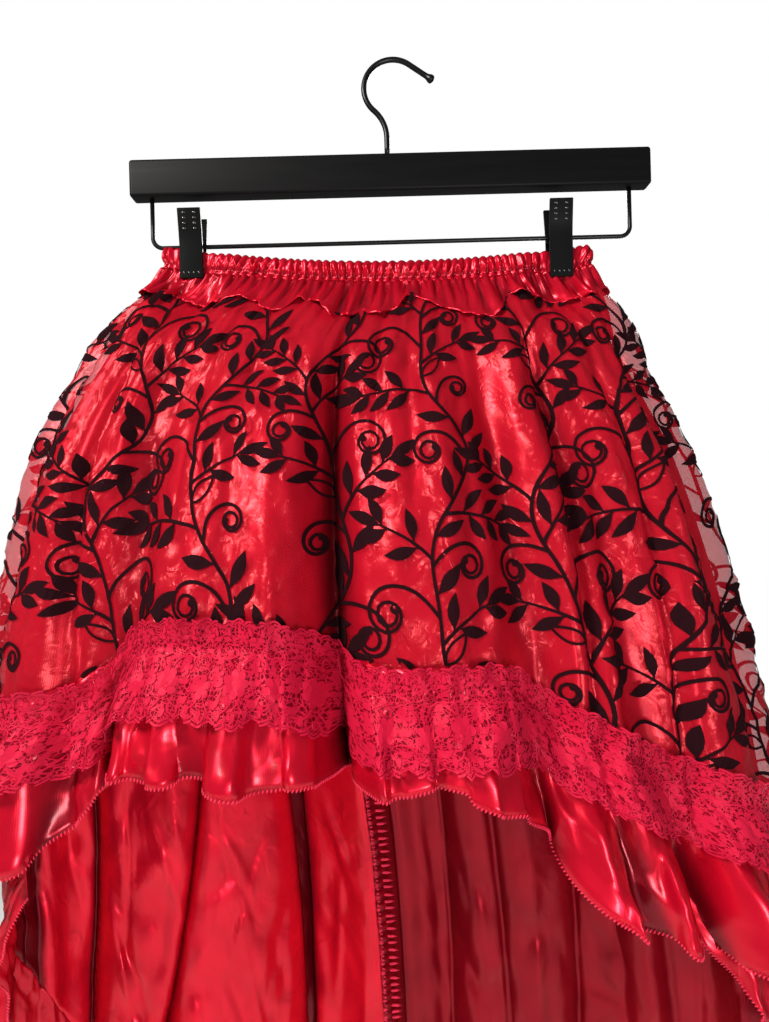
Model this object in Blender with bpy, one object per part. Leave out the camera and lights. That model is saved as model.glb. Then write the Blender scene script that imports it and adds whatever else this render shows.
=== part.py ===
# A high-low skirt that hangs by two clips from a wooden trouser hanger.
#
# Metres, +Z up, the wearer's front toward -Y and the wearer's left toward +X.
# The origin is the seat of the hook: the point inside its bend that rests on a nail.
#
# Every cloth piece is a thin wall on one shared form. A place on that form has an angle
# round the skirt (0 at the front, 90 at the +X side, 180 at the back, even along the
# cloth) and a drop below the waist. The pieces share their columns, so walls that lie
# on each other stay parallel.

import math

import bmesh
import bpy
import numpy as np

# Gap kept between pieces that touch, and how far each end of a panel stays short of its seam
SEAM_GAP = 0.0003
SEAM_TRIM = 0.0002

# Hanger
HANGER_X = -0.0035
BAR_LENGTH = 0.362
BAR_HEIGHT = 0.026
BAR_DEPTH = 0.014
BAR_TOP_Z = -0.066
BAR_EDGE_RADIUS = 0.0022
HOOK_WIRE_RADIUS = 0.0019
HOOK_BEND_RADIUS = 0.0203
HOOK_BEND_FROM = 55.0
HOOK_BEND_TO = 228.0
HOOK_NOSE_LENGTH = 0.0205
HOOK_TIP_RADIUS = 0.0029
HOOK_STEM_X = -0.005
RAIL_WIRE_RADIUS = 0.0015
RAIL_HALF_SPAN = 0.167
RAIL_Z = -0.126
RAIL_CORNER_RADIUS = 0.007

# Clips, by the place of each along the rail, and how far each reaches down over the cloth
CLIP_X = {"left": -0.1425, "right": 0.1135}
CLIP_JAW_DROP = {"left": 0.0235, "right": 0.0290}
CLIP_WIDTH = 0.0160
CLIP_WALL = 0.0026
CLIP_GRIP_RISE = 0.0235
CLIP_FACE_Y = 0.0050
CLIP_GRIP_SPREAD = 0.0045
SPRING_OUTER_RADIUS = 0.0043
SPRING_LENGTH = 0.0090

# Waist
WAIST_X = -0.014
WAIST_SIDE_Z = -0.1305
WAIST_SAG = 0.012
WAIST_TILT = 0.003
PINCH_DEPTH = 0.0042
PINCH_HALF_WIDTH = 0.011
PINCH_FADE = 0.018
PINCH_DROP = 0.027
PINCH_DROP_FADE = 0.030
SIDE_ROUNDING = 0.004

# Cloth
SATIN_WALL = 0.0015
ORGANZA_WALL = 0.0010
LACE_WALL = 0.0010
COLUMNS = 120
CASING_GATHERS = 80
CASING_HEIGHT = 0.0142
CASING_CROWN = 0.0016
CASING_GATHER_DEPTH = 0.0009
CASING_BUNCHES = 11
CASING_PRESSED_FLAT = 0.7
YOKE_GATHER_DEPTH = 0.0010
YOKE_GATHERED_DROP = 0.018
COLUMNS_PER_WAVE = 4

# Level sections of the form: drop below the waist, half width, front and back depth,
# and how far the middle has drifted sideways
SECTIONS = (
    # drop, half_width, front, back, drift
    (0.000, 0.148, 0.0090, 0.0090, 0.000),
    (0.014, 0.150, 0.0105, 0.0100, 0.000),
    (0.030, 0.160, 0.0230, 0.0170, -0.002),
    (0.045, 0.171, 0.0350, 0.0230, -0.006),
    (0.070, 0.187, 0.0520, 0.0320, -0.011),
    (0.100, 0.203, 0.0670, 0.0400, -0.014),
    (0.140, 0.221, 0.0820, 0.0480, -0.015),
    (0.210, 0.242, 0.0990, 0.0600, -0.014),
    (0.300, 0.260, 0.1130, 0.0730, -0.011),
    (0.450, 0.268, 0.1220, 0.0900, 0.002),
    (0.920, 0.288, 0.1400, 0.1180, 0.008),
)

# The large folds: angle round the skirt, and reach out of the form at full depth
FOLDS = (
    # angle, reach
    (-175.0, -0.010),
    (-162.5, 0.014),
    (-148.0, -0.006),
    (-131.0, -0.013),
    (-117.0, -0.002),
    (-105.0, 0.011),
    (-96.0, -0.002),
    (-87.0, 0.006),
    (-80.0, 0.002),
    (-71.0, 0.010),
    (-60.0, 0.005),
    (-48.6, -0.015),
    (-39.0, 0.007),
    (-26.0, 0.012),
    (-14.0, 0.007),
    (-4.5, -0.015),
    (4.0, 0.006),
    (14.0, 0.011),
    (24.0, 0.006),
    (31.6, -0.013),
    (41.2, 0.010),
    (51.4, -0.009),
    (60.0, 0.006),
    (68.4, 0.011),
    (79.0, -0.006),
    (90.0, 0.007),
    (101.0, -0.008),
    (112.0, 0.011),
    (123.0, -0.006),
    (135.0, 0.010),
    (148.0, -0.003),
    (162.0, -0.005),
    (174.5, 0.012),
)

# Where the folds begin, how soon they open, and how they deepen further down
FOLD_START = 0.022
FOLD_OPENING = 0.130
FOLD_SHARE_AT_TOP = 0.72
FOLD_SHARE_BELOW = 0.5
FOLD_DEEPENING = 0.45

# Lower edge of the yoke, where the organza is gathered in
YOKE_EDGE = (
    # angle, drop
    (-180.0, 0.036),
    (-168.0, 0.042),
    (-158.0, 0.030),
    (-147.0, 0.040),
    (-136.0, 0.035),
    (-126.0, 0.043),
    (-115.0, 0.031),
    (-104.0, 0.038),
    (-92.0, 0.033),
    (-78.0, 0.030),
    (-62.0, 0.036),
    (-51.0, 0.031),
    (-43.0, 0.033),
    (-34.0, 0.040),
    (-27.0, 0.030),
    (-20.0, 0.034),
    (-12.0, 0.043),
    (-3.0, 0.040),
    (7.0, 0.039),
    (13.0, 0.026),
    (20.0, 0.034),
    (29.0, 0.041),
    (42.0, 0.045),
    (51.0, 0.029),
    (59.0, 0.030),
    (68.0, 0.036),
    (79.0, 0.034),
    (92.0, 0.031),
    (104.0, 0.040),
    (116.0, 0.034),
    (128.0, 0.042),
    (141.0, 0.032),
    (154.0, 0.041),
    (168.0, 0.033),
)
PUFF_REACH = 0.0065
PUFF_LENGTH = 0.050
PUFFS_ROUND = 7

# The overlay's hem, with its ruffle, and the line on which the lace is gathered over it
OVERLAY_HEM = (
    # angle, drop of the hem, drop of the lace line
    (-180.0, 0.462, 0.462),
    (-150.0, 0.440, 0.440),
    (-122.0, 0.395, 0.396),
    (-98.0, 0.350, 0.352),
    (-80.0, 0.312, 0.314),
    (-66.0, 0.292, 0.300),
    (-56.0, 0.276, 0.293),
    (-50.0, 0.263, 0.281),
    (-44.0, 0.252, 0.257),
    (-36.0, 0.249, 0.248),
    (-26.0, 0.248, 0.247),
    (-14.0, 0.249, 0.249),
    (-8.0, 0.253, 0.257),
    (-2.0, 0.257, 0.270),
    (7.0, 0.259, 0.273),
    (18.0, 0.262, 0.272),
    (26.0, 0.272, 0.276),
    (33.0, 0.298, 0.294),
    (42.0, 0.322, 0.312),
    (51.0, 0.342, 0.331),
    (60.0, 0.357, 0.346),
    (70.0, 0.371, 0.363),
    (82.0, 0.387, 0.390),
    (96.0, 0.402, 0.402),
    (118.0, 0.421, 0.421),
    (148.0, 0.444, 0.444),
)
OVERLAY_ROWS = (0.0, 0.09, 0.24, 0.46, 0.72, 1.0)

# The underskirt's hem: drop at the high point, how much lower the far side is, the angle
# of the high point, and how late the hem falls
UNDERSKIRT_HEM = {"high": 0.292, "fall": 0.533, "angle": -5.0, "power": 1.3}
TRAIN_ROWS = (0.33, 0.66, 1.0)

# How far the satin hangs inside the organza, along the body and more at the sides,
# where it comes out again below the overlay
UNDERSKIRT_INSET_TOP = 0.0022
UNDERSKIRT_INSET = 0.0030
UNDERSKIRT_SIDE_INSET = 0.0110
UNDERSKIRT_SETTLING = 0.050

# Ruffles and lace: lengths down the cloth, flare and depth of their waves at the hem
RUFFLE_LENGTH = 0.078
RUFFLE_ROWS = (0.020, 0.046, 0.078)
RUFFLE_FLARE = 0.015
RUFFLE_WAVE = 0.0075
TRAIN_RUFFLE_LENGTH = 0.074
TRAIN_RUFFLE_ROWS = (0.36, 1.0)
TRAIN_RUFFLE_FLARE = 0.009
TRAIN_RUFFLE_WAVE = 0.0065
TRAIN_RUFFLE_FROM = 45.0
TRAIN_RUFFLE_TO = 294.0
TRAIN_RUFFLE_TAPER = 18.0
TRAIN_RUFFLE_TIP_SHARE = 0.35
LACE_HEAD = 0.014
LACE_DROP = 0.035
LACE_GAP = 0.0005
LACE_LIFT = 0.0012
LACE_HEAD_FLARE = 0.0055
LACE_WAVE = 0.0022
LACE_SCALLOP = 0.003
LACE_SHIFT_COLUMNS = 1

# Panels between the side seams and the middle back seam, by the angles of their ends
PANELS = (
    # name, from, to
    ("front", -93.0, 93.0),
    ("back_right", 93.0, 180.0),
    ("back_left", 180.0, 267.0),
)
HALVES = (
    # name, from, to
    ("front", -93.0, 93.0),
    ("back", 93.0, 267.0),
)
TRAIN_RUFFLE_HALVES = (
    # name, from, to
    ("right", TRAIN_RUFFLE_FROM, 180.0),
    ("left", 180.0, TRAIN_RUFFLE_TO),
)

# Seam allowance inside the middle of the back
BACK_SEAM_ANGLES = (180.0, 183.0)
BACK_SEAM_WALL = 0.0010
BACK_SEAM_GAP = 0.0005

COLOURS = {
    # red, green, blue, roughness, metallic
    "satin": (0.50, 0.008, 0.022, 0.38, 0.0),
    "organza": (0.58, 0.010, 0.035, 0.45, 0.0),
    "lace": (0.62, 0.012, 0.060, 0.70, 0.0),
    "black_wood": (0.006, 0.006, 0.006, 0.42, 0.0),
    "black_plastic": (0.006, 0.006, 0.006, 0.35, 0.0),
    "black_wire": (0.008, 0.008, 0.008, 0.30, 0.6),
    "steel": (0.45, 0.44, 0.42, 0.30, 1.0),
}


# Small maths

def smooth_step(value):
    value = np.clip(value, 0.0, 1.0)
    return value * value * (3.0 - 2.0 * value)


# Cubic curve through the rows of a table, which stays level past its ends
def curve_through(value, table, column):
    xs = np.array([row[0] for row in table])
    ys = np.array([row[column] for row in table])
    slopes = np.gradient(ys, xs)
    slopes[0] = (ys[1] - ys[0]) / (xs[1] - xs[0])
    value = np.clip(value, xs[0], xs[-1])
    left = np.clip(np.searchsorted(xs, value, side="right") - 1, 0, len(xs) - 2)
    span = xs[left + 1] - xs[left]
    t = (value - xs[left]) / span
    return ((1 + 2 * t) * (1 - t) ** 2 * ys[left]
            + t * (1 - t) ** 2 * span * slopes[left]
            + t * t * (3 - 2 * t) * ys[left + 1]
            + t * t * (t - 1) * span * slopes[left + 1])


# The same for a table of angles that closes on itself after a full turn
def curve_round(angle, table, column=1):
    behind = tuple((row[0] - 360.0, row[column]) for row in table[-3:])
    around = tuple((row[0], row[column]) for row in table)
    ahead = tuple((row[0] + 360.0, row[column]) for row in table[:3])
    wrapped = (np.asarray(angle) + 180.0) % 360.0 - 180.0
    return curve_through(wrapped, behind + around + ahead, 1)


def underskirt_hem(angle):
    turn = np.radians(np.asarray(angle) - UNDERSKIRT_HEM["angle"])
    late = ((1 - np.cos(turn)) / 2) ** UNDERSKIRT_HEM["power"]
    return UNDERSKIRT_HEM["high"] + UNDERSKIRT_HEM["fall"] * late


# The form

# Plan curve of one level by the angle of an ellipse, rounded at the sides
def plan_curve(turn, half_width, front, back):
    depth = np.where(np.cos(turn) > 0, front, back)
    normal_x = np.sin(turn) / (half_width - SIDE_ROUNDING)
    normal_y = -np.cos(turn) / (depth - SIDE_ROUNDING)
    length = np.hypot(normal_x, normal_y)
    normal_x, normal_y = normal_x / length, normal_y / length
    x = (half_width - SIDE_ROUNDING) * np.sin(turn) + SIDE_ROUNDING * normal_x
    y = -(depth - SIDE_ROUNDING) * np.cos(turn) + SIDE_ROUNDING * normal_y
    return x, y, normal_x, normal_y


LEVELS = np.linspace(0.0, SECTIONS[-1][0], 47)
EVEN_ANGLES = np.linspace(-180.0, 180.0, 721)


# Ellipse angle at each even step along the cloth, for every level
def even_turns():
    turns = np.linspace(-math.pi, math.pi, 2881)
    table = []
    for level in LEVELS:
        half_width, front, back = (curve_through(level, SECTIONS, k) for k in (1, 2, 3))
        x, y, _, _ = plan_curve(turns, half_width, front, back)
        steps = np.hypot(np.diff(x), np.diff(y))
        along = np.concatenate([[0.0], np.cumsum(steps)])
        table.append(np.interp((EVEN_ANGLES + 180.0) / 360.0 * along[-1], along, turns))
    return np.array(table)


TURN_TABLE = even_turns()


def turn_at(angle, drop):
    angle = (np.asarray(angle) + 180.0) % 360.0
    level = np.clip(drop / LEVELS[-1], 0.0, 1.0) * (len(LEVELS) - 1)
    low = np.minimum(level.astype(int), len(LEVELS) - 2)
    column = angle * 2.0
    left = np.minimum(column.astype(int), len(EVEN_ANGLES) - 2)
    u, v = level - low, column - left
    return ((1 - u) * ((1 - v) * TURN_TABLE[low, left] + v * TURN_TABLE[low, left + 1])
            + u * ((1 - v) * TURN_TABLE[low + 1, left] + v * TURN_TABLE[low + 1, left + 1]))


# Folds start below the yoke and deepen down the skirt
def fold_growth(drop):
    deeper = FOLD_SHARE_AT_TOP + FOLD_SHARE_BELOW * np.clip(drop / FOLD_DEEPENING, 0, 1.2)
    return smooth_step((drop - FOLD_START) / FOLD_OPENING) * deeper


# Places on the form: angle and drop of each point, and its reach out of the surface
def form_points(angle, drop, reach):
    angle = np.asarray(angle, dtype=float)
    drop = np.broadcast_to(np.asarray(drop, dtype=float), angle.shape)
    reach = np.broadcast_to(np.asarray(reach, dtype=float), angle.shape)
    turn = turn_at(angle, drop)
    half_width, front, back, drift = (curve_through(drop, SECTIONS, k) for k in (1, 2, 3, 4))
    x, y, normal_x, normal_y = plan_curve(turn, half_width, front, back)
    for clip_x in CLIP_X.values():
        beside = np.abs(x + WAIST_X - clip_x) - PINCH_HALF_WIDTH
        pinch = 1 - smooth_step(beside / PINCH_FADE)
        pinch = pinch * (1 - smooth_step((drop - PINCH_DROP) / PINCH_DROP_FADE))
        y = y * (1 - pinch) + np.sign(y) * PINCH_DEPTH * pinch
    out = reach + curve_round(angle, FOLDS) * fold_growth(drop)
    waist_u = np.sin(turn_at(angle, np.zeros_like(drop)))
    waist_z = WAIST_SIDE_Z - WAIST_SAG * (1 - waist_u ** 2) - WAIST_TILT * waist_u
    return np.stack([WAIST_X + drift + x + out * normal_x, y + out * normal_y, waist_z - drop], axis=-1)


# Mesh building

def material(name):
    if name in bpy.data.materials:
        return bpy.data.materials[name]
    red, green, blue, roughness, metallic = COLOURS[name]
    made = bpy.data.materials.new(name)
    made.use_nodes = True
    shader = made.node_tree.nodes["Principled BSDF"]
    shader.inputs["Base Color"].default_value = (red, green, blue, 1.0)
    shader.inputs["Roughness"].default_value = roughness
    shader.inputs["Metallic"].default_value = metallic
    return made


def add_object(name, points, faces, finish):
    mesh = bpy.data.meshes.new(name)
    mesh.from_pydata([tuple(float(c) for c in p) for p in points], [], faces)
    shape = bmesh.new()
    shape.from_mesh(mesh)
    bmesh.ops.recalc_face_normals(shape, faces=shape.faces)
    shape.to_mesh(mesh)
    shape.free()
    mesh.materials.append(material(finish))
    mesh.shade_smooth()
    mesh.set_sharp_from_angle(angle=math.radians(40))
    made = bpy.data.objects.new(name, mesh)
    bpy.context.scene.collection.objects.link(made)
    return made


# Two triangles of one cell, cut along the same diagonal on every wall
def cell(corner, right, across, below):
    return [(corner, right, across), (corner, across, below)]


# A closed wall between outer rows and inner rows of points
def wall(name, outer, inner, finish, is_ring=True):
    rows, columns = len(outer), len(outer[0])
    points = np.concatenate([np.concatenate(outer), np.concatenate(inner)])
    inner_start = rows * columns
    faces = []
    for column in range(columns if is_ring else columns - 1):
        beside = (column + 1) % columns
        for row in range(rows - 1):
            here, down = row * columns, (row + 1) * columns
            faces += cell(here + column, here + beside, down + beside, down + column)
            here, down = here + inner_start, down + inner_start
            faces += cell(here + column, here + beside, down + beside, down + column)
        for row in (0, rows - 1):
            here = row * columns
            faces += cell(here + column, here + beside,
                          here + beside + inner_start, here + column + inner_start)
    if not is_ring:
        for column in (0, columns - 1):
            for row in range(rows - 1):
                here, down = row * columns + column, (row + 1) * columns + column
                faces += cell(here, down, down + inner_start, here + inner_start)
    return add_object(name, points, faces, finish)


# Outer and inner rows of a wall on the form, from the drop and the outer reach of each row
def form_rows(angle, drops, reaches, thickness):
    outer = [form_points(angle, drop, reach) for drop, reach in zip(drops, reaches)]
    inner = [form_points(angle, drop, reach - thickness) for drop, reach in zip(drops, reaches)]
    return outer, inner


# Part of each row between two angles, with its ends moved in from the seams
def between(rows, start, end):
    count = len(rows[0])
    first, last = (round((angle + 180.0) * count / 360.0) for angle in (start, end))
    columns = np.arange(first, last + 1) % count
    cut = []
    for row in rows:
        row = row[columns]
        for tip, beside in ((0, 1), (-1, -2)):
            way = row[beside] - row[tip]
            row[tip] += way * SEAM_TRIM / np.linalg.norm(way)
        cut.append(row)
    return cut


# One wall for each panel of a piece that goes all the way round
def panel_walls(name, panels, outer, inner, finish):
    for panel, start, end in panels:
        wall(name + "_" + panel, between(outer, start, end), between(inner, start, end), finish, False)


# A round bar along a path in the XZ plane, with the radius at each point
def round_bar(name, path, radii, sides, finish):
    path = np.array(path, dtype=float)
    along = np.gradient(path, axis=0)
    along /= np.linalg.norm(along, axis=1)[:, None]
    across = np.stack([-along[:, 1], along[:, 0]], axis=1)
    points = []
    for place, side, radius in zip(path, across, radii):
        for k in range(sides):
            turn = 2 * math.pi * (k + 0.5) / sides
            shift = radius * math.cos(turn)
            points.append((place[0] + side[0] * shift, radius * math.sin(turn), place[1] + side[1] * shift))
    faces = []
    for ring in range(len(path) - 1):
        for k in range(sides):
            beside = (k + 1) % sides
            faces.append((ring * sides + k, ring * sides + beside,
                          (ring + 1) * sides + beside, (ring + 1) * sides + k))
    faces.append(tuple(range(sides)))
    faces.append(tuple((len(path) - 1) * sides + k for k in range(sides)))
    return add_object(name, points, faces, finish)


# Hanger

def build_bar():
    shape = bmesh.new()
    bmesh.ops.create_cube(shape, size=1.0)
    for corner in shape.verts:
        corner.co.x *= BAR_LENGTH
        corner.co.y *= BAR_DEPTH
        corner.co.z *= BAR_HEIGHT
    mesh = bpy.data.meshes.new("hanger_bar")
    shape.to_mesh(mesh)
    shape.free()
    mesh.materials.append(material("black_wood"))
    bar = bpy.data.objects.new("hanger_bar", mesh)
    bpy.context.scene.collection.objects.link(bar)
    bar.location = (HANGER_X, 0.0, BAR_TOP_Z - BAR_HEIGHT / 2)
    bevel = bar.modifiers.new("rounded_edges", "BEVEL")
    bevel.width = BAR_EDGE_RADIUS
    bevel.segments = 2


def arc(centre, radius, start, end, steps):
    turns = np.radians(np.linspace(start, end, steps))
    return [(centre[0] + radius * math.cos(t), centre[1] + radius * math.sin(t)) for t in turns]


# Nose, bend, swan neck and stem, in one wire
def build_hook():
    centre = (0.0, HOOK_WIRE_RADIUS - HOOK_BEND_RADIUS)
    bend = arc(centre, HOOK_BEND_RADIUS, HOOK_BEND_FROM, HOOK_BEND_TO, 15)
    from_turn = math.radians(HOOK_BEND_FROM)
    nose_way = (math.sin(from_turn), -math.cos(from_turn))
    nose = [(bend[0][0] + nose_way[0] * reach, bend[0][1] + nose_way[1] * reach)
            for reach in np.array([1.0, 0.96, 0.86, 0.72, 0.4]) * HOOK_NOSE_LENGTH]
    turn = math.radians(HOOK_BEND_TO - 180.0)
    neck_radius = (HOOK_STEM_X - bend[-1][0]) / (1 - math.cos(turn))
    neck_centre = (HOOK_STEM_X - neck_radius, bend[-1][1] - neck_radius * math.sin(turn))
    neck = arc(neck_centre, neck_radius, math.degrees(turn), 0.0, 7)[1:]
    stem = [(HOOK_STEM_X, BAR_TOP_Z + SEAM_GAP)]
    path = nose + bend + neck + stem
    radii = [HOOK_WIRE_RADIUS] * len(path)
    radii[0:4] = [HOOK_TIP_RADIUS * 0.45, HOOK_TIP_RADIUS * 0.85, HOOK_TIP_RADIUS, HOOK_WIRE_RADIUS]
    round_bar("hook", path, radii, 10, "black_wire")


def build_rail():
    top = BAR_TOP_Z - BAR_HEIGHT - SEAM_GAP
    half, corner = RAIL_HALF_SPAN, RAIL_CORNER_RADIUS
    left = arc((HANGER_X - half + corner, RAIL_Z + corner), corner, 180.0, 270.0, 6)
    right = arc((HANGER_X + half - corner, RAIL_Z + corner), corner, 270.0, 360.0, 6)
    path = [(HANGER_X - half, top)] + left + right + [(HANGER_X + half, top)]
    round_bar("clip_rail", path, [RAIL_WIRE_RADIUS] * len(path), 8, "black_wire")


# One jaw: a plate from the finger grip, past the spring, to the cloth
def build_jaw(name, clip_x, jaw_drop, side):
    face = (
        # height from the rail, distance of the inner face from the middle
        (CLIP_GRIP_RISE, CLIP_FACE_Y + CLIP_GRIP_SPREAD),
        (CLIP_GRIP_RISE * 0.35, CLIP_FACE_Y + CLIP_GRIP_SPREAD * 0.3),
        (0.0, CLIP_FACE_Y),
        (-jaw_drop, CLIP_FACE_Y),
    )
    points = []
    for x in (clip_x - CLIP_WIDTH / 2, clip_x + CLIP_WIDTH / 2):
        for rise, inner in face:
            points.append((x, side * inner, RAIL_Z + rise))
        for rise, inner in reversed(face):
            points.append((x, side * (inner + CLIP_WALL), RAIL_Z + rise))
    count = 2 * len(face)
    faces = [(k, (k + 1) % count, (k + 1) % count + count, k + count) for k in range(count)]
    last = len(face) - 1
    for start in (0, count):
        for k in range(last):
            faces.append((start + k, start + k + 1, start + count - 2 - k, start + count - 1 - k))
    add_object(name, points, faces, "black_plastic")


def build_spring(name, clip_x):
    sides = 12
    half = SPRING_LENGTH / 2
    section = (
        # place along the rail, radius
        (-half, RAIL_WIRE_RADIUS + 2 * SEAM_GAP),
        (-half, SPRING_OUTER_RADIUS),
        (half, SPRING_OUTER_RADIUS),
        (half, RAIL_WIRE_RADIUS + 2 * SEAM_GAP),
    )
    points = []
    for k in range(sides):
        turn = 2 * math.pi * k / sides
        for along, radius in section:
            points.append((clip_x + along, radius * math.cos(turn), RAIL_Z + radius * math.sin(turn)))
    faces = []
    for k in range(sides):
        here, beside = 4 * k, 4 * ((k + 1) % sides)
        for j in range(4):
            nearby = (j + 1) % 4
            faces.append((here + j, here + nearby, beside + nearby, beside + j))
    add_object(name, points, faces, "steel")


# Cloth

ANGLES = np.arange(COLUMNS) * 360.0 / COLUMNS - 180.0


def wave_phase(columns, shift=0):
    return np.cos(2 * math.pi * (columns + shift) / COLUMNS_PER_WAVE)


def build_casing():
    count = 2 * CASING_GATHERS
    angle = np.arange(count) * 360.0 / count - 180.0
    zigzag = np.where(np.arange(count) % 2 == 0, 1.0, -1.0)
    uneven = 0.75 + 0.25 * np.cos(np.radians(angle * CASING_BUNCHES))
    gather = zigzag * CASING_GATHER_DEPTH * uneven
    waist_x = form_points(angle, 0.0, 0.0)[:, 0]
    pressed = np.zeros(count)
    for clip_x in CLIP_X.values():
        beside = np.abs(waist_x - clip_x) - CLIP_WIDTH / 2 - 0.002
        pressed = np.maximum(pressed, 1 - smooth_step(beside / 0.01))
    gather = gather * (1 - CASING_PRESSED_FLAT * pressed)
    crown = CASING_CROWN * (1 - pressed)
    drops = [-0.25 * gather, 0.5 * CASING_HEIGHT, CASING_HEIGHT]
    outer = [form_points(angle, drops[0], 0.6 * gather),
             form_points(angle, drops[1], gather + crown),
             form_points(angle, drops[2], 0.8 * gather)]
    inner = [form_points(angle, drop, -SATIN_WALL) for drop in (0.0, 0.5 * CASING_HEIGHT, CASING_HEIGHT)]
    panel_walls("waist_casing", HALVES, outer, inner, "satin")


def build_yoke():
    edge = curve_round(ANGLES, YOKE_EDGE)
    top = CASING_HEIGHT + SEAM_GAP
    gather = wave_phase(np.arange(COLUMNS)) * YOKE_GATHER_DEPTH
    gather = gather * smooth_step((edge - YOKE_GATHERED_DROP) / 0.01)
    drops = [np.full(COLUMNS, top), 0.5 * (top + edge), edge]
    reaches = [np.zeros(COLUMNS), gather, 0.5 * gather]
    outer, inner = form_rows(ANGLES, drops, reaches, SATIN_WALL)
    panel_walls("yoke", HALVES, outer, inner, "satin")


def overlay_drops(angle):
    top = curve_round(angle, YOKE_EDGE) + SEAM_GAP
    hem = curve_round(angle, OVERLAY_HEM)
    return [top + (hem - top) * part for part in OVERLAY_ROWS]


# Organza stands off just below its gathers
def puff(angle, below):
    uneven = 0.7 + 0.3 * np.cos(np.radians(angle * PUFFS_ROUND + 40))
    return PUFF_REACH * uneven * np.sin(math.pi * np.clip(below / PUFF_LENGTH, 0, 1))


def build_overlay():
    drops = overlay_drops(ANGLES)
    reaches = [puff(ANGLES, drop - drops[0]) for drop in drops]
    outer, inner = form_rows(ANGLES, drops, reaches, ORGANZA_WALL)
    panel_walls("overlay", PANELS, outer, inner, "organza")


def underskirt_reach(angle, drop):
    settle = smooth_step((drop - curve_round(angle, YOKE_EDGE)) / UNDERSKIRT_SETTLING)
    covered = 1 - smooth_step((drop - curve_round(angle, OVERLAY_HEM)) / RUFFLE_LENGTH)
    side = np.abs(np.sin(np.radians(angle))) ** 8 * covered
    return -(UNDERSKIRT_INSET_TOP + settle * (UNDERSKIRT_INSET + UNDERSKIRT_SIDE_INSET * side))


def underskirt_drops(angle):
    drops = overlay_drops(angle)
    hem = underskirt_hem(angle)
    return drops + [drops[-1] + (hem - drops[-1]) * part for part in TRAIN_ROWS]


def build_underskirt():
    drops = underskirt_drops(ANGLES)
    reaches = [underskirt_reach(ANGLES, drop) for drop in drops]
    outer, inner = form_rows(ANGLES, drops, reaches, SATIN_WALL)
    panel_walls("underskirt", PANELS, outer, inner, "satin")


# The seam allowance of the middle back, on the inside of the satin
def build_back_seam():
    angle = np.array(BACK_SEAM_ANGLES)
    drops = underskirt_drops(angle)[1:]
    reaches = [underskirt_reach(angle, drop) - SATIN_WALL - BACK_SEAM_GAP for drop in drops]
    outer, inner = form_rows(angle, drops, reaches, BACK_SEAM_WALL)
    wall("back_seam_allowance", outer, inner, "satin", False)


# Reach of the overlay's ruffle, by the distance below its seam
def ruffle_reach(below):
    wave = wave_phase(np.arange(COLUMNS))
    return (RUFFLE_FLARE + RUFFLE_WAVE * wave) * np.maximum(below, 0.0) / RUFFLE_LENGTH


def build_ruffle():
    hem = curve_round(ANGLES, OVERLAY_HEM)
    below = (SEAM_GAP,) + RUFFLE_ROWS
    drops = [hem + distance for distance in below]
    reaches = [ruffle_reach(distance) for distance in below]
    outer, inner = form_rows(ANGLES, drops, reaches, SATIN_WALL)
    panel_walls("overlay_ruffle", PANELS, outer, inner, "satin")


# Lace with a frill above its gathering line and a longer fall below it
def build_lace():
    hem = curve_round(ANGLES, OVERLAY_HEM)
    line = curve_round(ANGLES, OVERLAY_HEM, 2)
    columns = np.arange(COLUMNS)
    wave = wave_phase(columns, LACE_SHIFT_COLUMNS)
    scallop = LACE_SCALLOP * np.where(columns % 2 == 0, 1.0, 0.0)
    drops = [line - LACE_HEAD - scallop, line, line + 0.5 * LACE_DROP, line + LACE_DROP + scallop]
    lifts = (LACE_HEAD_FLARE + LACE_WAVE * wave, 0.0, LACE_LIFT + LACE_WAVE * (1 + wave) * 0.5,
             LACE_LIFT + LACE_WAVE * (1 + wave))
    backing = LACE_GAP + LACE_WALL
    reaches = [ruffle_reach(drop - hem) + backing + lift for drop, lift in zip(drops, lifts)]
    outer, inner = form_rows(ANGLES, drops, reaches, LACE_WALL)
    wall("lace_trim", outer, inner, "lace")


# The train's ruffle runs round the back and narrows to nothing at the two front corners
def build_train_ruffle():
    along = (ANGLES - TRAIN_RUFFLE_FROM) % 360.0
    taper = np.minimum(along, TRAIN_RUFFLE_TO - TRAIN_RUFFLE_FROM - along) / TRAIN_RUFFLE_TAPER
    grown = TRAIN_RUFFLE_TIP_SHARE + (1 - TRAIN_RUFFLE_TIP_SHARE) * smooth_step(taper)
    seam = underskirt_hem(ANGLES)
    start = underskirt_reach(ANGLES, seam)
    wave = wave_phase(np.arange(COLUMNS))
    drops, reaches = [seam + SEAM_GAP], [start]
    for part in TRAIN_RUFFLE_ROWS:
        below = TRAIN_RUFFLE_LENGTH * grown * part
        flare = (TRAIN_RUFFLE_FLARE + TRAIN_RUFFLE_WAVE * wave) * below / TRAIN_RUFFLE_LENGTH
        drops.append(seam + below)
        reaches.append(start + flare)
    outer, inner = form_rows(ANGLES, drops, reaches, SATIN_WALL)
    panel_walls("train_ruffle", TRAIN_RUFFLE_HALVES, outer, inner, "satin")


def main():
    for old in list(bpy.data.objects):
        bpy.data.objects.remove(old, do_unlink=True)
    build_bar()
    build_hook()
    build_rail()
    for place, clip_x in CLIP_X.items():
        build_jaw("clip_" + place + "_front_jaw", clip_x, CLIP_JAW_DROP[place], -1)
        build_jaw("clip_" + place + "_back_jaw", clip_x, CLIP_JAW_DROP[place], 1)
        build_spring("clip_" + place + "_spring", clip_x)
    build_casing()
    build_yoke()
    build_overlay()
    build_lace()
    build_ruffle()
    build_underskirt()
    build_train_ruffle()
    build_back_seam()


main()
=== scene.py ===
# Red high-low skirt with a flocked organza overlay, clipped to a wooden trouser hanger.
# Everything is in metres in the part's own frame: +Z up, the wearer's front toward -Y.
import math

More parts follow.
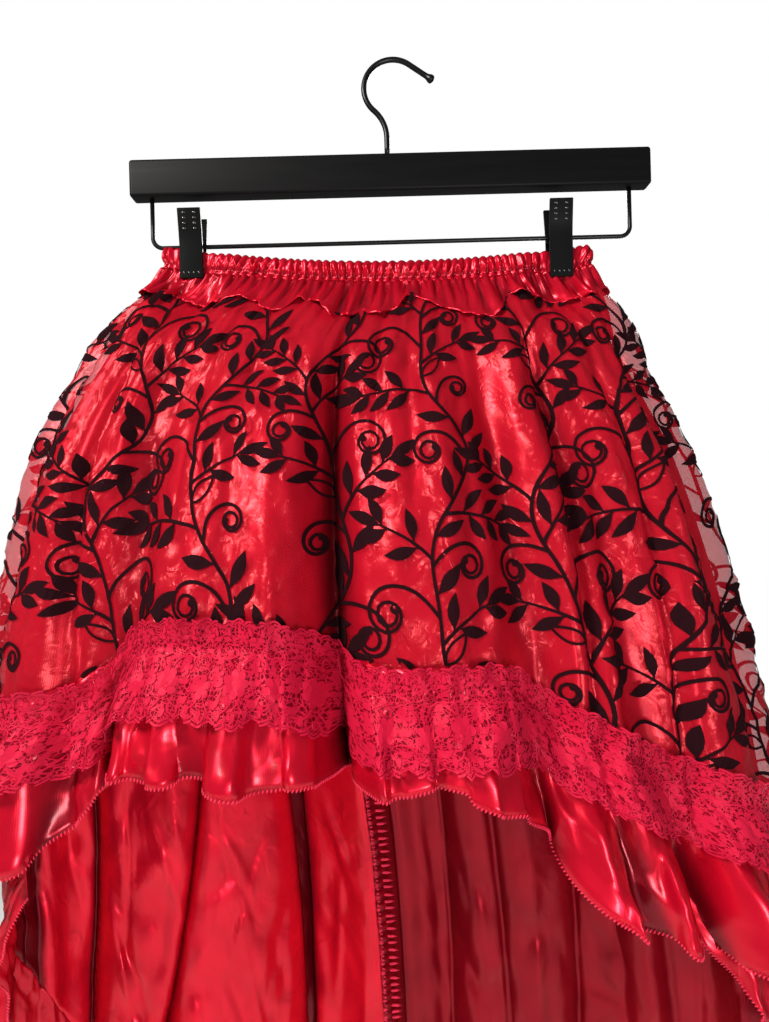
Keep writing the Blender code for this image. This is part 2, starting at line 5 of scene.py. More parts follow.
import bmesh
import bpy
import numpy as np
from mathutils import Matrix, Vector


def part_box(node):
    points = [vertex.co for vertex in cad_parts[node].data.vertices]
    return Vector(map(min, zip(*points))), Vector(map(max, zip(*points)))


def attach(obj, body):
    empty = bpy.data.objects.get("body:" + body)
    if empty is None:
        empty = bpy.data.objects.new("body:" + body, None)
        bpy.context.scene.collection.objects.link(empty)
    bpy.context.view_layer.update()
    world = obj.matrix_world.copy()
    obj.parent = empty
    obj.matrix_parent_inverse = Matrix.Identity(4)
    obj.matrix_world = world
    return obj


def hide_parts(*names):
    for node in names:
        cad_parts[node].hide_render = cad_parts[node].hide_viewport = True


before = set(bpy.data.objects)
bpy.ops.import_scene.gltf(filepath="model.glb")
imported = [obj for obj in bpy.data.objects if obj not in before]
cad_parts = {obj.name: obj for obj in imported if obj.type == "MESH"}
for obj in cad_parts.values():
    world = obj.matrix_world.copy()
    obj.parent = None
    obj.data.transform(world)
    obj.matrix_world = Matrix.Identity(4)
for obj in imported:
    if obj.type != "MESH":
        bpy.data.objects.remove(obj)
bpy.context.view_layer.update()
print("frame loaded:", len(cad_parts), "nodes")

mm = 0.001


# Small helpers

def linearColour(hexText, alpha=1.0):
    parts = [int(hexText[i:i + 2], 16) / 255 for i in (1, 3, 5)]
    return tuple(c / 12.92 if c <= 0.04045 else ((c + 0.055) / 1.055) ** 2.4 for c in parts) + (alpha,)


def smoothStep(value):
    value = np.clip(value, 0.0, 1.0)
    return value * value * (3.0 - 2.0 * value)


def newMaterial(name):
    made = bpy.data.materials.new(name)
    made.use_nodes = True
    return made, made.node_tree, made.node_tree.nodes["Principled BSDF"]


def addNode(tree, kind, settings=None, inputs=None):
    node = tree.nodes.new(kind)
    for name, value in (settings or {}).items():
        setattr(node, name, value)
    for name, value in (inputs or {}).items():
        if isinstance(value, bpy.types.Node):  # a node stands for its first output
            value = value.outputs[0]
        if isinstance(value, bpy.types.NodeSocket):
            tree.links.new(value, node.inputs[name])
        else:
            node.inputs[name].default_value = value
    return node


def setShader(shader, values):
    for name, value in values.items():
        shader.inputs[name].default_value = value


# The drape: the same form as the part's cloth

hanger = {
    "x": -0.0035, "barHeight": 0.026, "barTop": -0.066, "barEdge": 0.0022,
    "railWire": 0.0015, "railHalf": 0.167, "railZ": -0.126, "railCorner": 0.007,
    "hookWire": 0.0019, "hookBend": 0.0203, "noseTurn": 55.0, "noseLength": 0.0205,
    "bendEnd": 228.0, "neckTurn": 48.0, "stemX": -0.005, "stemLength": 0.006,
}
clips = {
    "left": {"x": -0.1425, "drop": 0.0235},
    "right": {"x": 0.1135, "drop": 0.0290},
}
waist = {
    "x": -0.014, "sideZ": -0.1305, "sag": 0.012, "tilt": 0.003, "rounding": 0.004,
    "pinch": 0.0042, "pinchHalf": 0.011, "pinchFade": 0.018, "pinchDrop": 0.027, "pinchDropFade": 0.030,
}

# level sections: drop below the waist, half width, front depth, back depth, sideways drift
sections = (
    (0.000, 0.148, 0.0090, 0.0090, 0.000),
    (0.014, 0.150, 0.0105, 0.0100, 0.000),
    (0.030, 0.160, 0.0230, 0.0170, -0.002),
    (0.045, 0.171, 0.0350, 0.0230, -0.006),
    (0.070, 0.187, 0.0520, 0.0320, -0.011),
    (0.100, 0.203, 0.0670, 0.0400, -0.014),
    (0.140, 0.221, 0.0820, 0.0480, -0.015),
    (0.210, 0.242, 0.0990, 0.0600, -0.014),
    (0.300, 0.260, 0.1130, 0.0730, -0.011),
    (0.450, 0.268, 0.1220, 0.0900, 0.002),
    (0.920, 0.288, 0.1400, 0.1180, 0.008),
)

# large folds: angle round the skirt and reach out of the form
folds = (
    (-175.0, -0.010), (-162.5, 0.014), (-148.0, -0.006), (-131.0, -0.013), (-117.0, -0.002),
    (-105.0, 0.011), (-96.0, -0.002), (-87.0, 0.006), (-80.0, 0.002), (-71.0, 0.010),
    (-60.0, 0.005), (-48.6, -0.015), (-39.0, 0.007), (-26.0, 0.012), (-14.0, 0.007),
    (-4.5, -0.015), (4.0, 0.006), (14.0, 0.011), (24.0, 0.006), (31.6, -0.013),
    (41.2, 0.010), (51.4, -0.009), (60.0, 0.006), (68.4, 0.011), (79.0, -0.006),
    (90.0, 0.007), (101.0, -0.008), (112.0, 0.011), (123.0, -0.006), (135.0, 0.010),
    (148.0, -0.003), (162.0, -0.005), (174.5, 0.012),
)

# the large folds start below the waist and deepen down the cloth
foldGrowth = {"from": 0.022, "over": 0.130, "least": 0.72, "gain": 0.5, "gainOver": 0.45}

# lower edge of the yoke: angle and drop
yokeEdge = (
    (-180.0, 0.036), (-168.0, 0.042), (-158.0, 0.030), (-147.0, 0.040), (-136.0, 0.035),
    (-126.0, 0.043), (-115.0, 0.031), (-104.0, 0.038), (-92.0, 0.033), (-78.0, 0.030),
    (-62.0, 0.036), (-51.0, 0.031), (-43.0, 0.033), (-34.0, 0.040), (-27.0, 0.030),
    (-20.0, 0.034), (-12.0, 0.043), (-3.0, 0.040), (7.0, 0.039), (13.0, 0.026),
    (20.0, 0.034), (29.0, 0.041), (42.0, 0.045), (51.0, 0.029), (59.0, 0.030),
    (68.0, 0.036), (79.0, 0.034), (92.0, 0.031), (104.0, 0.040), (116.0, 0.034),
    (128.0, 0.042), (141.0, 0.032), (154.0, 0.041), (168.0, 0.033),
)

# the overlay's hem and the line on which the lace is gathered: angle and two drops
overlayHem = (
    (-180.0, 0.462, 0.462), (-150.0, 0.440, 0.440), (-122.0, 0.395, 0.396), (-98.0, 0.350, 0.352),
    (-80.0, 0.312, 0.314), (-66.0, 0.292, 0.300), (-56.0, 0.276, 0.293), (-50.0, 0.263, 0.281),
    (-44.0, 0.252, 0.257), (-36.0, 0.249, 0.248), (-26.0, 0.248, 0.247), (-14.0, 0.249, 0.249),
    (-8.0, 0.253, 0.257), (-2.0, 0.257, 0.270), (7.0, 0.259, 0.273), (18.0, 0.262, 0.272),
    (26.0, 0.272, 0.276), (33.0, 0.298, 0.294), (42.0, 0.322, 0.312), (51.0, 0.342, 0.331),
    (60.0, 0.357, 0.346), (70.0, 0.371, 0.363), (82.0, 0.387, 0.390), (96.0, 0.402, 0.402),
    (118.0, 0.421, 0.421), (148.0, 0.444, 0.444),
)

# creases drawn one by one: angle at the top and at the bottom, drops between which it runs,
# width in degrees, and height in millimetres (below zero it is a valley)
bodyCreases = (
    (-68.0, -53.5, 0.030, 0.430, 2.2, -15.0),
    (-62.0, -47.0, 0.045, 0.300, 2.6, 5.0),
    (-55.0, -42.0, 0.080, 0.260, 1.6, -3.0),
    (-44.0, -37.5, 0.025, 0.190, 1.9, -4.5),
    (-39.0, -31.0, 0.060, 0.240, 2.2, 2.4),
    (-30.0, -24.0, 0.030, 0.250, 2.0, -3.2),
    (-19.0, -15.0, 0.110, 0.330, 2.2, 2.6),
    (-12.0, -9.0, 0.040, 0.200, 1.5, -3.0),
    (-6.8, -4.4, 0.030, 0.430, 1.8, -18.0),
    (-1.0, 0.5, 0.045, 0.300, 2.2, 5.0),
    (5.0, 4.0, 0.030, 0.170, 1.5, -3.6),
    (14.0, 11.0, 0.026, 0.180, 1.6, -3.6),
    (20.0, 15.5, 0.090, 0.280, 2.0, 2.6),
    (26.0, 20.5, 0.050, 0.270, 1.9, -3.0),
    (41.0, 29.0, 0.050, 0.300, 2.4, 4.0),
    (50.5, 36.0, 0.030, 0.430, 2.0, -16.0),
    (57.0, 43.0, 0.050, 0.310, 2.3, 4.5),
    (68.0, 55.0, 0.035, 0.430, 2.0, -12.0),
    (74.0, 61.0, 0.060, 0.330, 2.0, 3.0),
    (80.0, 72.0, 0.040, 0.360, 2.4, -6.0),
    (-84.0, -75.0, 0.035, 0.360, 2.4, -6.0),
    (97.0, 94.0, 0.050, 0.440, 2.8, -5.0),
    (108.0, 111.0, 0.040, 0.300, 2.8, 3.5),
    (122.0, 124.0, 0.045, 0.440, 2.6, -6.5),
    (131.0, 130.0, 0.070, 0.330, 1.8, -3.0),
    (139.0, 136.0, 0.060, 0.400, 3.0, 3.0),
    (152.0, 149.0, 0.040, 0.430, 2.4, -6.0),
    (164.0, 166.0, 0.050, 0.350, 2.0, -3.0),
    (-170.0, -174.0, 0.040, 0.430, 2.6, -5.5),
    (-161.0, -159.0, 0.060, 0.300, 1.8, -3.0),
    (-152.0, -147.0, 0.050, 0.330, 2.6, -4.0),
    (-133.0, -130.0, 0.040, 0.440, 2.8, -6.5),
    (-118.0, -121.0, 0.060, 0.420, 2.4, 3.0),
    (-99.0, -97.0, 0.045, 0.430, 2.8, -5.0),
)


def curveThrough(value, table, column):
    xs = np.array([row[0] for row in table])
    ys = np.array([row[column] for row in table])
    slopes = np.gradient(ys, xs)
    slopes[0] = (ys[1] - ys[0]) / (xs[1] - xs[0])
    value = np.clip(value, xs[0], xs[-1])
    left = np.clip(np.searchsorted(xs, value, side="right") - 1, 0, len(xs) - 2)
    span = xs[left + 1] - xs[left]
    t = (value - xs[left]) / span
    return ((1 + 2 * t) * (1 - t) ** 2 * ys[left] + t * (1 - t) ** 2 * span * slopes[left]
            + t * t * (3 - 2 * t) * ys[left + 1] + t * t * (t - 1) * span * slopes[left + 1])


def curveRound(angle, table, column=1):
    turned = ([(row[0] - 360.0, row[column]) for row in table[-3:]]
              + [(row[0], row[column]) for row in table]
              + [(row[0] + 360.0, row[column]) for row in table[:3]])
    return curveThrough((np.asarray(angle) + 180.0) % 360.0 - 180.0, turned, 1)


def planCurve(turn, halfWidth, front, back):
    depth = np.where(np.cos(turn) > 0, front, back)
    r = waist["rounding"]
    nx, ny = np.sin(turn) / (halfWidth - r), -np.cos(turn) / (depth - r)
    length = np.hypot(nx, ny)
    nx, ny = nx / length, ny / length
    return (halfWidth - r) * np.sin(turn) + r * nx, -(depth - r) * np.cos(turn) + r * ny, nx, ny


levels = np.linspace(0.0, sections[-1][0], 47)
evenAngles = np.linspace(-180.0, 180.0, 721)


def evenTurns():  # ellipse angle at each even step along the cloth, for every level
    turns = np.linspace(-math.pi, math.pi, 2881)
    table = []
    for level in levels:
        x, y, _, _ = planCurve(turns, *(curveThrough(level, sections, k) for k in (1, 2, 3)))
        along = np.concatenate([[0.0], np.cumsum(np.hypot(np.diff(x), np.diff(y)))])
        table.append(np.interp((evenAngles + 180.0) / 360.0 * along[-1], along, turns))
    return np.array(table)


turnTable = evenTurns()


def turnAt(angle, drop):
    angle = (np.asarray(angle) + 180.0) % 360.0
    level = np.clip(drop / levels[-1], 0.0, 1.0) * (len(levels) - 1)
    low = np.minimum(level.astype(int), len(levels) - 2)
    left = np.minimum((angle * 2.0).astype(int), len(evenAngles) - 2)
    u, v = level - low, angle * 2.0 - left
    return ((1 - u) * ((1 - v) * turnTable[low, left] + v * turnTable[low, left + 1])
            + u * ((1 - v) * turnTable[low + 1, left] + v * turnTable[low + 1, left + 1]))


def creaseReach(angle, drop, creases):
    total = np.zeros(np.broadcast(angle, drop).shape)
    for top, bottom, start, end, width, height in creases:
        t = (drop - start) / (end - start)
        away = (angle - (top + (bottom - top) * t) + 180.0) % 360.0 - 180.0
        run = np.sin(math.pi * np.clip(t, 0, 1)) ** 0.6
        total = total + height * mm * run / (1 + (away / width) ** 2) ** 1.5
    return total


# A place on the drape: angle round the skirt, drop below the waist, reach out of the form
def formPoints(angle, drop, reach):
    angle, drop, reach = np.broadcast_arrays(*(np.asarray(a, dtype=float) for a in (angle, drop, reach)))
    halfWidth, front, back, drift = (curveThrough(drop, sections, k) for k in (1, 2, 3, 4))
    x, y, nx, ny = planCurve(turnAt(angle, drop), halfWidth, front, back)
    for clip in clips.values():
        beside = np.abs(x + waist["x"] - clip["x"]) - waist["pinchHalf"]
        pinch = 1 - smoothStep(beside / waist["pinchFade"])
        pinch = pinch * (1 - smoothStep((drop - waist["pinchDrop"]) / waist["pinchDropFade"]))
        y = y * (1 - pinch) + np.sign(y) * waist["pinch"] * pinch
    deeper = foldGrowth["least"] + foldGrowth["gain"] * np.clip(drop / foldGrowth["gainOver"], 0, 1.2)
    growth = smoothStep((drop - foldGrowth["from"]) / foldGrowth["over"]) * deeper
    out = reach + curveRound(angle, folds) * growth + creaseReach(angle, drop, bodyCreases)
    across = np.sin(turnAt(angle, np.zeros_like(drop)))
    top = waist["sideZ"] - waist["sag"] * (1 - across ** 2) - waist["tilt"] * across
    return np.stack([waist["x"] + drift + x + out * nx, y + out * ny, top - drop], axis=-1)


# Waves of uneven width round the skirt; the row of waves closes on itself
def unevenPhase(angle, seed, count, spread=1.0):
    rng = np.random.default_rng(seed)
    turn = np.radians(angle)
    phase = count * turn
    for k in (3, 5, 8, 13, 21):
        if k < count * 0.6:
            phase = phase + spread * rng.uniform(0.3, 0.9) * np.sin(k * turn + rng.uniform(0, 6.28))
    return phase


def unevenWaves(angle, seed, count, spread=1.0):
    rng = np.random.default_rng(seed + 100)
    turn = np.radians(angle)
    size = 0.7 + 0.3 * np.cos(rng.integers(3, 9) * turn + rng.uniform(0, 6.28))
    size = size * (0.8 + 0.2 * np.cos(rng.integers(11, 17) * turn + rng.uniform(0, 6.28)))
    return size * np.cos(unevenPhase(angle, seed, count, spread))


# Small crumples of stiff cloth: soft ridges that cross in all directions, about -0.5 to 0.5;
# they die away at the middle back, where the two ends of the pattern meet
def crumple(angle, drop, seed, sizeMm):
    rng = np.random.default_rng(seed)
    angle = (np.asarray(angle) + 180.0) % 360.0 - 180.0
    calm = smoothStep((180.0 - np.abs(angle)) / 7.0)
    across, down = angle / 360.0 * 1.3, drop
    total = np.zeros(np.broadcast(across, down).shape)
    for k in range(7):
        way = rng.uniform(0, math.pi)
        wave = sizeMm * mm * rng.uniform(0.7, 1.9)
        first = across * math.cos(way) + down * math.sin(way)
        second = down * math.cos(way) - across * math.sin(way)
        wander = 0.9 * np.sin(second / wave * rng.uniform(1.2, 2.4) + rng.uniform(0, 6.28))
        patch = 0.5 + 0.5 * np.sin(second / wave * 0.9 + first / wave * 0.7 + rng.uniform(0, 6.28))
        ridge = 1 - np.abs(np.sin(first / wave * 1.6 + wander + rng.uniform(0, 6.28)))
        total = total + patch * (ridge ** 1.6 - 0.36)
    return total / 3.0 * calm


# Rounded gathers with a sharp valley between each two, from 0 to 1
def gathers(angle, seed, count, spread=1.0):
    return np.abs(np.sin(unevenPhase(angle, seed, count, spread) / 2)) ** 0.8


# Cloth meshes

def gridFaces(rows, columns, closes, start, flip):
    r, c = np.meshgrid(np.arange(rows - 1), np.arange(columns if closes else columns - 1), indexing="ij")
    r, c = r.ravel(), c.ravel()
    beside = (c + 1) % columns
    quads = np.stack([r * columns + c, (r + 1) * columns + c,
                      (r + 1) * columns + beside, r * columns + beside], axis=1) + start
    return quads[:, ::-1] if flip else quads


# Closed thin shell between an outer and an inner grid of points
def shellFaces(rows, columns, closes, start=0):
    size = rows * columns
    faces = [
        gridFaces(rows, columns, closes, start, False),
        gridFaces(rows, columns, closes, start + size, True),
    ]
    c = np.arange(columns if closes else columns - 1)
    beside = (c + 1) % columns
    for row, flip in ((0, False), (rows - 1, True)):
        a = start + row * columns
        rim = np.stack([a + c, a + beside, a + beside + size, a + c + size], axis=1)
        faces.append(rim[:, ::-1] if flip else rim)
    if not closes:
        r = np.arange(rows - 1)
        for column, flip in ((0, False), (columns - 1, True)):
            a, b = start + r * columns + column, start + (r + 1) * columns + column
            rim = np.stack([a, a + size, b + size, b], axis=1)
            faces.append(rim[:, ::-1] if flip else rim)
    return np.concatenate(faces)


def linkObject(name, data):
    made = bpy.data.objects.new(name, data)
    bpy.context.scene.collection.objects.link(made)
    return made


def meshObject(name, points, faces, material, smooth=True):
    mesh = bpy.data.meshes.new(name)
    mesh.from_pydata(np.asarray(points).tolist(), [], np.asarray(faces).tolist())
    mesh.validate()
    if material:
        mesh.materials.append(material)
    if smooth:
        mesh.shade_smooth()
    return linkObject(name, mesh)


# A finished bmesh as an object, smooth between its sharp edges
def shapeObject(name, shape, material, sharpAngle):
    mesh = bpy.data.meshes.new(name)
    shape.to_mesh(mesh)
    shape.free()
    mesh.materials.append(material)
    mesh.shade_smooth()
    mesh.set_sharp_from_angle(angle=math.radians(sharpAngle))
    return linkObject(name, mesh)


# Flat cloth coordinates in metres, kept as a UV map, so that weave and print follow the cloth
def writeFlat(made, flat, columns, closes):
    mesh = made.data
    corner = np.zeros(len(mesh.loops), dtype=int)
    mesh.loops.foreach_get("vertex_index", corner)
    uv = flat[corner % len(flat)]
    if closes:  # the last cells of each row run on past the joint
        width = flat[:, 0].max() - flat[:, 0].min()
        face = np.zeros(len(mesh.polygons) * 2, dtype=int)
        mesh.polygons.foreach_get("loop_start", face[:len(mesh.polygons)])
        mesh.polygons.foreach_get("loop_total", face[len(mesh.polygons):])
        owner = np.repeat(np.arange(len(mesh.polygons)), face[len(mesh.polygons):])
        widest = np.full(len(mesh.polygons), -1e9)
        np.maximum.at(widest, owner, uv[:, 0])
        far = widest[owner] - uv[:, 0] > width / 2
        uv[far, 0] += width * columns / (columns - 1)
    layer = mesh.uv_layers.new(name="flat")
    layer.data.foreach_set("uv", uv.astype(np.float32).ravel())


flatGirth = 1.25  # the cloth's width where it hangs freely


def flatPlaces(angle, drop):
    angle, drop = np.broadcast_arrays(angle, drop)
    return np.stack([angle / 360.0 * flatGirth, -drop], axis=-1)


# How deep a place lies in the folds, 0 to 1, kept on the points: the colour is painted darker there, as
# painted shade
def writeShade(made, outside, inside):
    layer = made.data.attributes.new("foldShade", "FLOAT", "POINT")
    both = np.concatenate([outside.ravel(), inside.ravel()])
    layer.data.foreach_set("value", np.clip(both, 0, 1).astype(np.float32))


# Painted shade of the overlay and underskirt: deepest in the valleys of the big folds and creases
def bodyShade(angle, drop):
    grown = smoothStep((drop - foldGrowth["from"]) / foldGrowth["over"])
    out = curveRound(angle, folds) * grown + creaseReach(angle, drop, bodyCreases)
    return smoothStep((-out - 0.003) / 0.026)


def clothSheet(name, angle, drop, reach, thickness, material, closes=False, flat=None,
               shade=0.0, inside=None):
    inside = shade if inside is None else inside
    angle, drop, reach, shade, inside = np.broadcast_arrays(angle, drop, reach, shade, inside)
    outer, inner = formPoints(angle, drop, reach), formPoints(angle, drop, reach - thickness)
    rows, columns = angle.shape
    points = np.concatenate([outer.reshape(-1, 3), inner.reshape(-1, 3)])
    made = meshObject(name, points, shellFaces(rows, columns, closes), material)
    flat = flatPlaces(angle, drop) if flat is None else flat
    writeFlat(made, flat.reshape(-1, 2), columns, closes)
    writeShade(made, shade, inside)
    return made


# One layer of the same cloth for the trims to lie on; it is removed at the end
def clothGuide(name, angle, drop, reach, flat):
    angle, drop, reach = np.broadcast_arrays(angle, drop, reach)
    rows, columns = angle.shape
    points = formPoints(angle, drop, reach).reshape(-1, 3)
    guide = meshObject(name, points, gridFaces(rows, columns, False, 0, False), None)
    writeFlat(guide, flat.reshape(-1, 2), columns, False)
    guide.hide_render = True
    return guide


def finish(piece, slotName, *nodes):
    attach(piece, "root")
    if nodes:
        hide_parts(*nodes)
    faces = piece.data.polygons
    triangles, area = sum(len(p.vertices) - 2 for p in faces), sum(p.area for p in faces)
    print("made", piece.name, triangles, "triangles", round(area, 4), "m2")


# Node trees that make geometry

def newTree(name, sockets):
    tree = bpy.data.node_groups.new(name, "GeometryNodeTree")
    tree.is_modifier = True
    tree.interface.new_socket("Geometry", in_out="INPUT", socket_type="NodeSocketGeometry")
    for label, kind in sockets:
        tree.interface.new_socket(label, in_out="INPUT", socket_type="NodeSocket" + kind)
    tree.interface.new_socket("Geometry", in_out="OUTPUT", socket_type="NodeSocketGeometry")
    return tree, tree.nodes.new("NodeGroupInput").outputs


def endTree(tree, geometry, material):
    real = addNode(tree, "GeometryNodeRealizeInstances", inputs={0: geometry})
    painted = addNode(tree, "GeometryNodeSetMaterial", inputs={0: real, "Material": material})
    addNode(tree, "NodeGroupOutput", inputs={0: painted})


# Runs a tree on a host mesh and keeps the result as a plain mesh
def runTree(name, tree, values, points=(), edges=()):
    mesh = bpy.data.meshes.new(name)
    mesh.from_pydata(np.asarray(points).tolist(), list(edges), [])
    made = linkObject(name, mesh)
    modifier = made.modifiers.new("build", "NODES")
    modifier.node_group = tree
    for item in tree.interface.items_tree:
        if item.in_out == "INPUT" and item.name in values:
            modifier[item.identifier] = values[item.name]
    bpy.context.view_layer.update()
    evaluated = made.evaluated_get(bpy.context.evaluated_depsgraph_get())
    result = bpy.data.meshes.new_from_object(evaluated)
    made.modifiers.clear()
    made.data = result
    result.name = name
    return made


# Repeats a flat motif in columns and rows and lays it on a cloth by the cloth's flat coordinates
def wrapTree():
    tree, given = newTree("Motif on cloth", (
        ("Motif", "Object"), ("Cloth", "Object"), ("Columns", "Int"), ("Rows", "Int"),
        ("Pitch X", "Float"), ("Pitch Y", "Float"), ("Start X", "Float"), ("Start Y", "Float"),
        ("Half Drop", "Float"), ("Lift", "Float"), ("Material", "Material")))
    index = addNode(tree, "GeometryNodeInputIndex")
    share = addNode(tree, "ShaderNodeMath", {"operation": "DIVIDE"}, {0: index, 1: given["Rows"]})
    column = addNode(tree, "ShaderNodeMath", {"operation": "FLOOR"}, {0: share})
    row = addNode(tree, "ShaderNodeMath", {"operation": "MODULO"}, {0: index, 1: given["Rows"]})
    odd = addNode(tree, "ShaderNodeMath", {"operation": "MODULO"}, {0: column, 1: 2.0})
    shift = addNode(tree, "ShaderNodeMath", {"operation": "MULTIPLY"}, {0: odd, 1: given["Half Drop"]})
    level = addNode(tree, "ShaderNodeMath", {"operation": "ADD"}, {0: row, 1: shift})
    x = addNode(tree, "ShaderNodeMath", {"operation": "MULTIPLY_ADD"}, {
        0: column, 1: given["Pitch X"], 2: given["Start X"]})
    y = addNode(tree, "ShaderNodeMath", {"operation": "MULTIPLY_ADD"}, {
        0: level, 1: given["Pitch Y"], 2: given["Start Y"]})
    place = addNode(tree, "ShaderNodeCombineXYZ", inputs={0: x, 1: y})
    count = addNode(tree, "ShaderNodeMath", {"operation": "MULTIPLY"}, {
        0: given["Columns"], 1: given["Rows"]})
    points = addNode(tree, "GeometryNodePoints", inputs={"Count": count, "Position": place})
    motif = addNode(tree, "GeometryNodeObjectInfo", inputs={"Object": given["Motif"]})
    laid = addNode(tree, "GeometryNodeInstanceOnPoints", inputs={
        "Points": points, "Instance": motif.outputs["Geometry"]})
    real = addNode(tree, "GeometryNodeRealizeInstances", inputs={0: laid})
    cloth = addNode(tree, "GeometryNodeObjectInfo", inputs={"Object": given["Cloth"]})
    flatMap = addNode(tree, "GeometryNodeInputNamedAttribute", {"data_type": "FLOAT_VECTOR"}, {
        "Name": "flat"})
    here = addNode(tree, "GeometryNodeInputPosition")
    found = []
    for field in ("GeometryNodeInputPosition", "GeometryNodeInputNormal"):
        found.append(addNode(tree, "GeometryNodeSampleUVSurface", {"data_type": "FLOAT_VECTOR"}, {
            "Mesh": cloth.outputs["Geometry"], "Value": addNode(tree, field),
            "Source UV Map": flatMap, "Sample UV": here}))
    off = addNode(tree, "FunctionNodeBooleanMath", {"operation": "NOT"}, {
        0: found[0].outputs["Is Valid"]})
    kept = addNode(tree, "GeometryNodeDeleteGeometry", {"domain": "POINT"}, {
        0: real, "Selection": off})
    split = addNode(tree, "ShaderNodeSeparateXYZ", inputs={0: here})
    height = addNode(tree, "ShaderNodeMath", {"operation": "ADD"}, {
        0: split.outputs[2], 1: given["Lift"]})
    lifted = addNode(tree, "ShaderNodeVectorMath", {"operation": "SCALE"}, {
        0: found[1], "Scale": height})
    target = addNode(tree, "ShaderNodeVectorMath", {"operation": "ADD"}, {0: found[0], 1: lifted})
    moved = addNode(tree, "GeometryNodeSetPosition", inputs={0: kept, "Position": target})
    endTree(tree, moved, given["Material"])
    return tree


# Overlock stitches: small slanted threads along an edge
def stitchTree():
    tree, given = newTree("Overlock stitches", (
        ("Pitch", "Float"), ("Size", "Vector"), ("Slant", "Float"), ("Material", "Material")))
    path = addNode(tree, "GeometryNodeMeshToCurve", inputs={0: given["Geometry"]})
    even = addNode(tree, "GeometryNodeResampleCurve", {"mode": "LENGTH"}, {
        0: path, "Length": given["Pitch"]})
    bead = addNode(tree, "GeometryNodeMeshIcoSphere", inputs={"Radius": 1.0, "Subdivisions": 1})
    tangent = addNode(tree, "GeometryNodeInputTangent")
    turned = addNode(tree, "FunctionNodeAlignRotationToVector", {"axis": "X"}, {"Vector": tangent})
    slant = addNode(tree, "FunctionNodeAxisAngleToRotation", inputs={
        "Axis": (0, 1, 0), "Angle": given["Slant"]})
    slanted = addNode(tree, "FunctionNodeRotateRotation", {"rotation_space": "LOCAL"}, {
        0: turned, 1: slant})
    laid = addNode(tree, "GeometryNodeInstanceOnPoints", inputs={
        "Points": even, "Instance": bead, "Rotation": slanted, "Scale": given["Size"]})
    real = addNode(tree, "GeometryNodeRealizeInstances", inputs={0: laid})
    soft = addNode(tree, "GeometryNodeSetShadeSmooth", inputs={0: real})
    endTree(tree, soft, given["Material"])
    return tree


# A closed coil of wire round the rail
def coilTree():
    tree, given = newTree("Spring coil", (
        ("Radius", "Float"), ("Wire", "Float"), ("Turns", "Float"), ("Length", "Float"),
        ("Place", "Vector"), ("Material", "Material")))
    spiral = addNode(tree, "GeometryNodeCurveSpiral", inputs={
        "Resolution": 20, "Rotations": given["Turns"], "Start Radius": given["Radius"],
        "End Radius": given["Radius"], "Height": given["Length"]})
    section = addNode(tree, "GeometryNodeCurvePrimitiveCircle", inputs={
        "Resolution": 8, "Radius": given["Wire"]})
    wire = addNode(tree, "GeometryNodeCurveToMesh", inputs={0: spiral, 1: section, "Fill Caps": True})
    placed = addNode(tree, "GeometryNodeTransform", inputs={
        "Geometry": wire, "Rotation": (0.0, math.pi / 2, 0.0), "Translation": given["Place"]})
    soft = addNode(tree, "GeometryNodeSetShadeSmooth", inputs={0: placed})
    endTree(tree, soft, given["Material"])
    return tree


# Rows of small moulded dots on a flat face
def dotTree():
    tree, given = newTree("Grip dots", (
        ("Across", "Int"), ("Down", "Int"), ("Step Across", "Vector"), ("Step Down", "Vector"),
        ("First", "Vector"), ("Size", "Vector"), ("Material", "Material")))
    index = addNode(tree, "GeometryNodeInputIndex")
    share = addNode(tree, "ShaderNodeMath", {"operation": "DIVIDE"}, {0: index, 1: given["Across"]})
    row = addNode(tree, "ShaderNodeMath", {"operation": "FLOOR"}, {0: share})
    column = addNode(tree, "ShaderNodeMath", {"operation": "MODULO"}, {0: index, 1: given["Across"]})
    place = given["First"]
    for step, by in ((given["Step Across"], column), (given["Step Down"], row)):
        shift = addNode(tree, "ShaderNodeVectorMath", {"operation": "SCALE"}, {0: step, "Scale": by})
        place = addNode(tree, "ShaderNodeVectorMath", {"operation": "ADD"}, {0: place, 1: shift})
    count = addNode(tree, "ShaderNodeMath", {"operation": "MULTIPLY"}, {
        0: given["Across"], 1: given["Down"]})
    points = addNode(tree, "GeometryNodePoints", inputs={"Count": count, "Position": place})
    dot = addNode(tree, "GeometryNodeMeshIcoSphere", inputs={"Radius": 1.0, "Subdivisions": 2})
    dots = addNode(tree, "GeometryNodeInstanceOnPoints", inputs={
        "Points": points, "Instance": dot, "Scale": given["Size"]})
    real = addNode(tree, "GeometryNodeRealizeInstances", inputs={0: dots})
    soft = addNode(tree, "GeometryNodeSetShadeSmooth", inputs={0: real})
    endTree(tree, soft, given["Material"])
    return tree


motifOnCloth = wrapTree()
overlockStitches = stitchTree()
springCoil = coilTree()
gripDots = dotTree()
print("node trees ready")


# Materials

